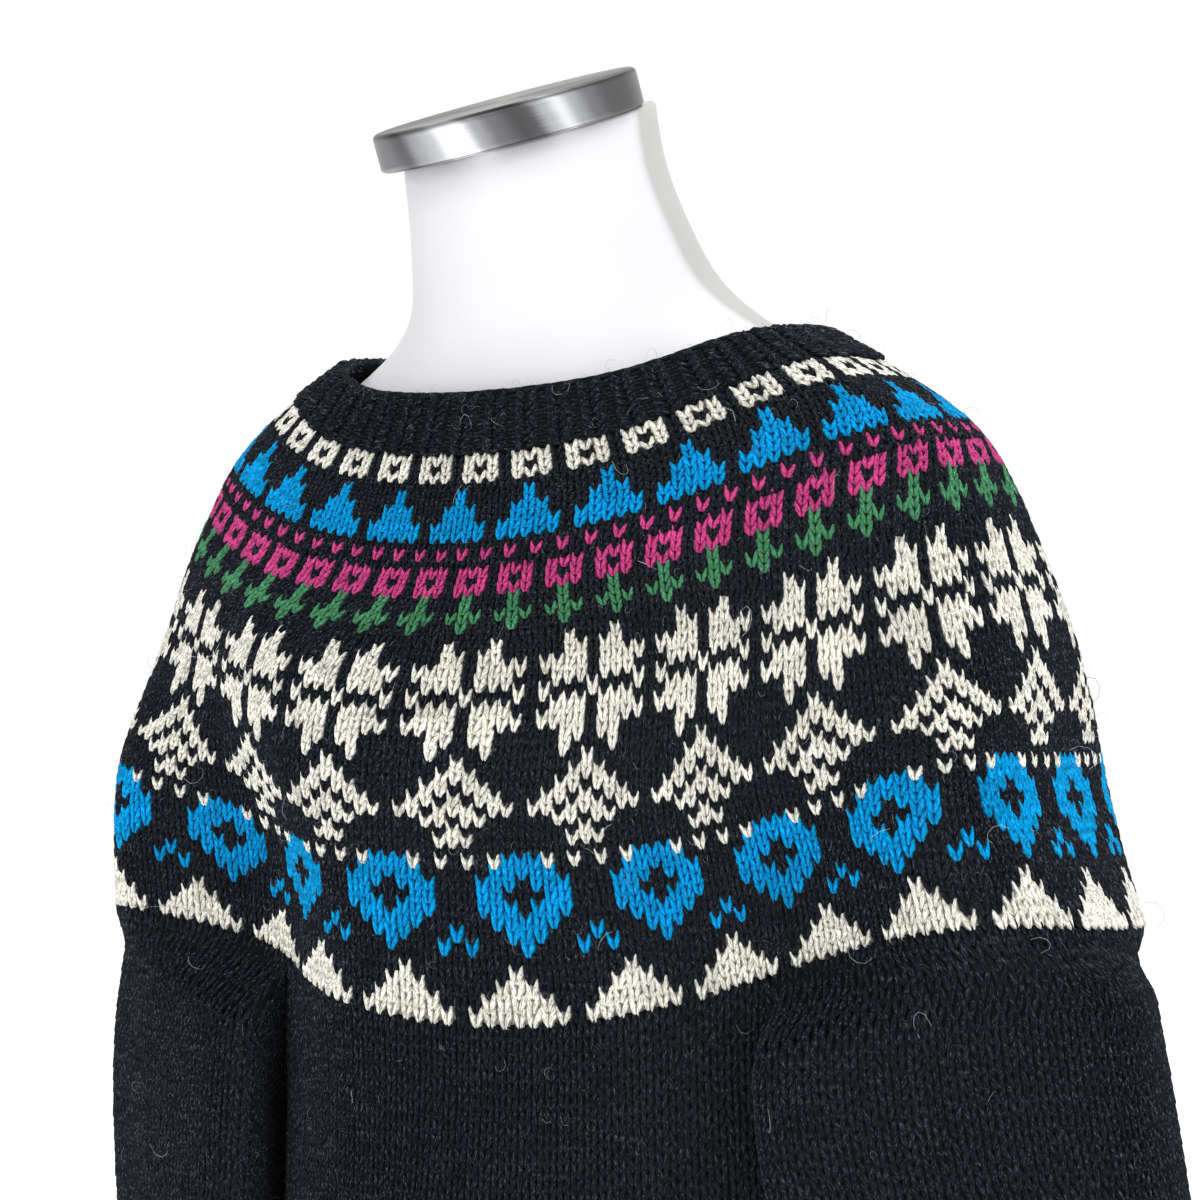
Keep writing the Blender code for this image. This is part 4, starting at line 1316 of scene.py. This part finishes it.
class YarnSettings(bpy.types.PropertyGroup):
    ground: colour_setting("Ground yarn", "Colour of the sweater's main yarn", (0.0082, 0.0108, 0.0160))
    cream: colour_setting("Cream yarn", "Colour of the cream motifs", (0.85, 0.835, 0.745))
    blue: colour_setting("Blue yarn", "Colour of the blue motifs", (0.0, 0.328, 0.705))
    green: colour_setting("Green yarn", "Colour of the sprigs", (0.068, 0.26, 0.122))
    pink: colour_setting("Pink yarn", "Colour of the small flowers", (0.60, 0.064, 0.25))
    # Pale flecks: partly pale fibres, partly painted highlight on the near-black yarn
    flecks_and_highlights: setting("Pale flecks", "How strongly pale fibres show in the yarn", 0.40, 0.0, 1.0,
                    subtype="FACTOR")
    lobe_width: setting("Lobe width", "Half width of a stitch's arm, in stitch widths", 0.31, 0.1, 0.5)
    lobe_depth: setting("Lobe depth", "How far a stitch's arm stands out, in stitch widths", 0.21, 0.05, 0.5)
    lobe_length: setting("Lobe length", "Half length of a stitch's arm, in row heights", 0.83, 0.5, 1.2)
    lean: setting("Lean", "How far the arms of a stitch lean outwards", 0.21, 0.0, 0.8, subtype="ANGLE")
    spread: setting("Spread", "Distance of an arm's middle from the stitch's, in widths", 0.245, 0.1, 0.4)
    lift: setting("Lift", "Height of the stitches over the cloth's ground", 0.0002, 0.0, 0.003, unit="LENGTH")
    fibre_share: setting("Loose fibres", "Loose hairs for each face of the stitches", 0.0075, 0.0, 0.05)
    fibre_thickness: setting("Fibre thickness", "Half thickness of a hair, in its lengths", 0.010, 0.001, 0.1)


class FormSettings(bpy.types.PropertyGroup):
    colour: colour_setting("Form colour", "Colour of the dress form's moulded shell", (0.83, 0.83, 0.85))
    columns: IntProperty(name="Columns", description="Columns round the dress form", default=112, min=32,
                         max=256)


class StageSettings(bpy.types.PropertyGroup):
    floor_size: setting("Floor size", "Side of the floor", 8.0, 2.0, 30.0, unit="LENGTH")
    floor_glow: setting("Floor glow", "Light the floor gives off to meet the surround", 0.34, 0.0, 1.0)
    surround: setting("Surround", "Strength of the white surround", 1.0, 0.0, 5.0)
    key_power: setting("Key light", "Power of the key light", 12.0, 0.0, 500.0, unit="POWER")
    fill_power: setting("Fill light", "Power of the fill light", 3.0, 0.0, 500.0, unit="POWER")
    top_power: setting("Top light", "Power of the top light", 12.0, 0.0, 500.0, unit="POWER")


class SWEATER_OT_form(bpy.types.Operator):
    """Builds the dress form and its steel neck cap"""
    bl_idname = "sweater.form"
    bl_label = "Dress form"

    def execute(self, context):
        make_form()
        make_cap()
        return {"FINISHED"}


class SWEATER_OT_yoke(bpy.types.Operator):
    """Knits the round yoke with its colour bands"""
    bl_idname = "sweater.yoke"
    bl_label = "Yoke"

    def execute(self, context):
        make_yoke()
        return {"FINISHED"}


class SWEATER_OT_neckband(bpy.types.Operator):
    """Knits the ribbed neckband and its bound-off edge"""
    bl_idname = "sweater.neckband"
    bl_label = "Neckband"

    def execute(self, context):
        make_neckband()
        return {"FINISHED"}


class SWEATER_OT_body(bpy.types.Operator):
    """Knits the body and its hem rib"""
    bl_idname = "sweater.body"
    bl_label = "Body and hem"

    def execute(self, context):
        make_body()
        return {"FINISHED"}


class SWEATER_OT_sleeves(bpy.types.Operator):
    """Knits both sleeves with their cuffs"""
    bl_idname = "sweater.sleeves"
    bl_label = "Sleeves and cuffs"

    def execute(self, context):
        make_sleeve("left", LEFT_SLEEVE, False, 41)
        make_sleeve("right", RIGHT_SLEEVE, True, 51)
        return {"FINISHED"}


class SWEATER_OT_fibres(bpy.types.Operator):
    """Adds the loose hairs that stand off the wool"""
    bl_idname = "sweater.fibres"
    bl_label = "Loose fibres"

    def execute(self, context):
        make_fibres()
        return {"FINISHED"}


class SWEATER_OT_stage(bpy.types.Operator):
    """Sets the floor, the lights and the camera"""
    bl_idname = "sweater.stage"
    bl_label = "Stage"

    def execute(self, context):
        make_stage()
        return {"FINISHED"}


class SWEATER_PT_panel(bpy.types.Panel):
    """Sizes and colours of the sweater, its form and the stage"""
    bl_idname = "SWEATER_PT_panel"
    bl_label = "Sweater"
    bl_space_type = "VIEW_3D"
    bl_region_type = "UI"
    bl_category = "Sweater"

    def draw(self, context):
        for title, group, operators in (
                ("Stage", "sweater_stage", (SWEATER_OT_stage,)),
                ("Dress form", "sweater_form", (SWEATER_OT_form,)),
                ("Knitting", "sweater_yarn", (SWEATER_OT_yoke, SWEATER_OT_neckband, SWEATER_OT_body,
                                              SWEATER_OT_sleeves, SWEATER_OT_fibres))):
            box = self.layout.box()
            box.label(text=title)
            settings = getattr(context.scene, group)
            for name in settings.bl_rna.properties.keys():
                if name not in ("rna_type", "name"):
                    box.prop(settings, name)
            for operator in operators:
                box.operator(operator.bl_idname)


CLASSES = (YarnSettings, FormSettings, StageSettings, SWEATER_OT_stage, SWEATER_OT_form, SWEATER_OT_yoke,
           SWEATER_OT_neckband, SWEATER_OT_body, SWEATER_OT_sleeves, SWEATER_OT_fibres, SWEATER_PT_panel)


def register():
    for cls in CLASSES:
        bpy.utils.register_class(cls)
    bpy.types.Scene.sweater_yarn = PointerProperty(type=YarnSettings)
    bpy.types.Scene.sweater_form = PointerProperty(type=FormSettings)
    bpy.types.Scene.sweater_stage = PointerProperty(type=StageSettings)


def unregister():
    for name in ("sweater_stage", "sweater_form", "sweater_yarn"):
        delattr(bpy.types.Scene, name)
    for cls in reversed(CLASSES):
        bpy.utils.unregister_class(cls)


def main():
    register()
    ops = bpy.ops.sweater
    for run in (ops.stage, ops.form, ops.yoke, ops.neckband, ops.body, ops.sleeves, ops.fibres):
        run()


if __name__ == "__main__":
    main()
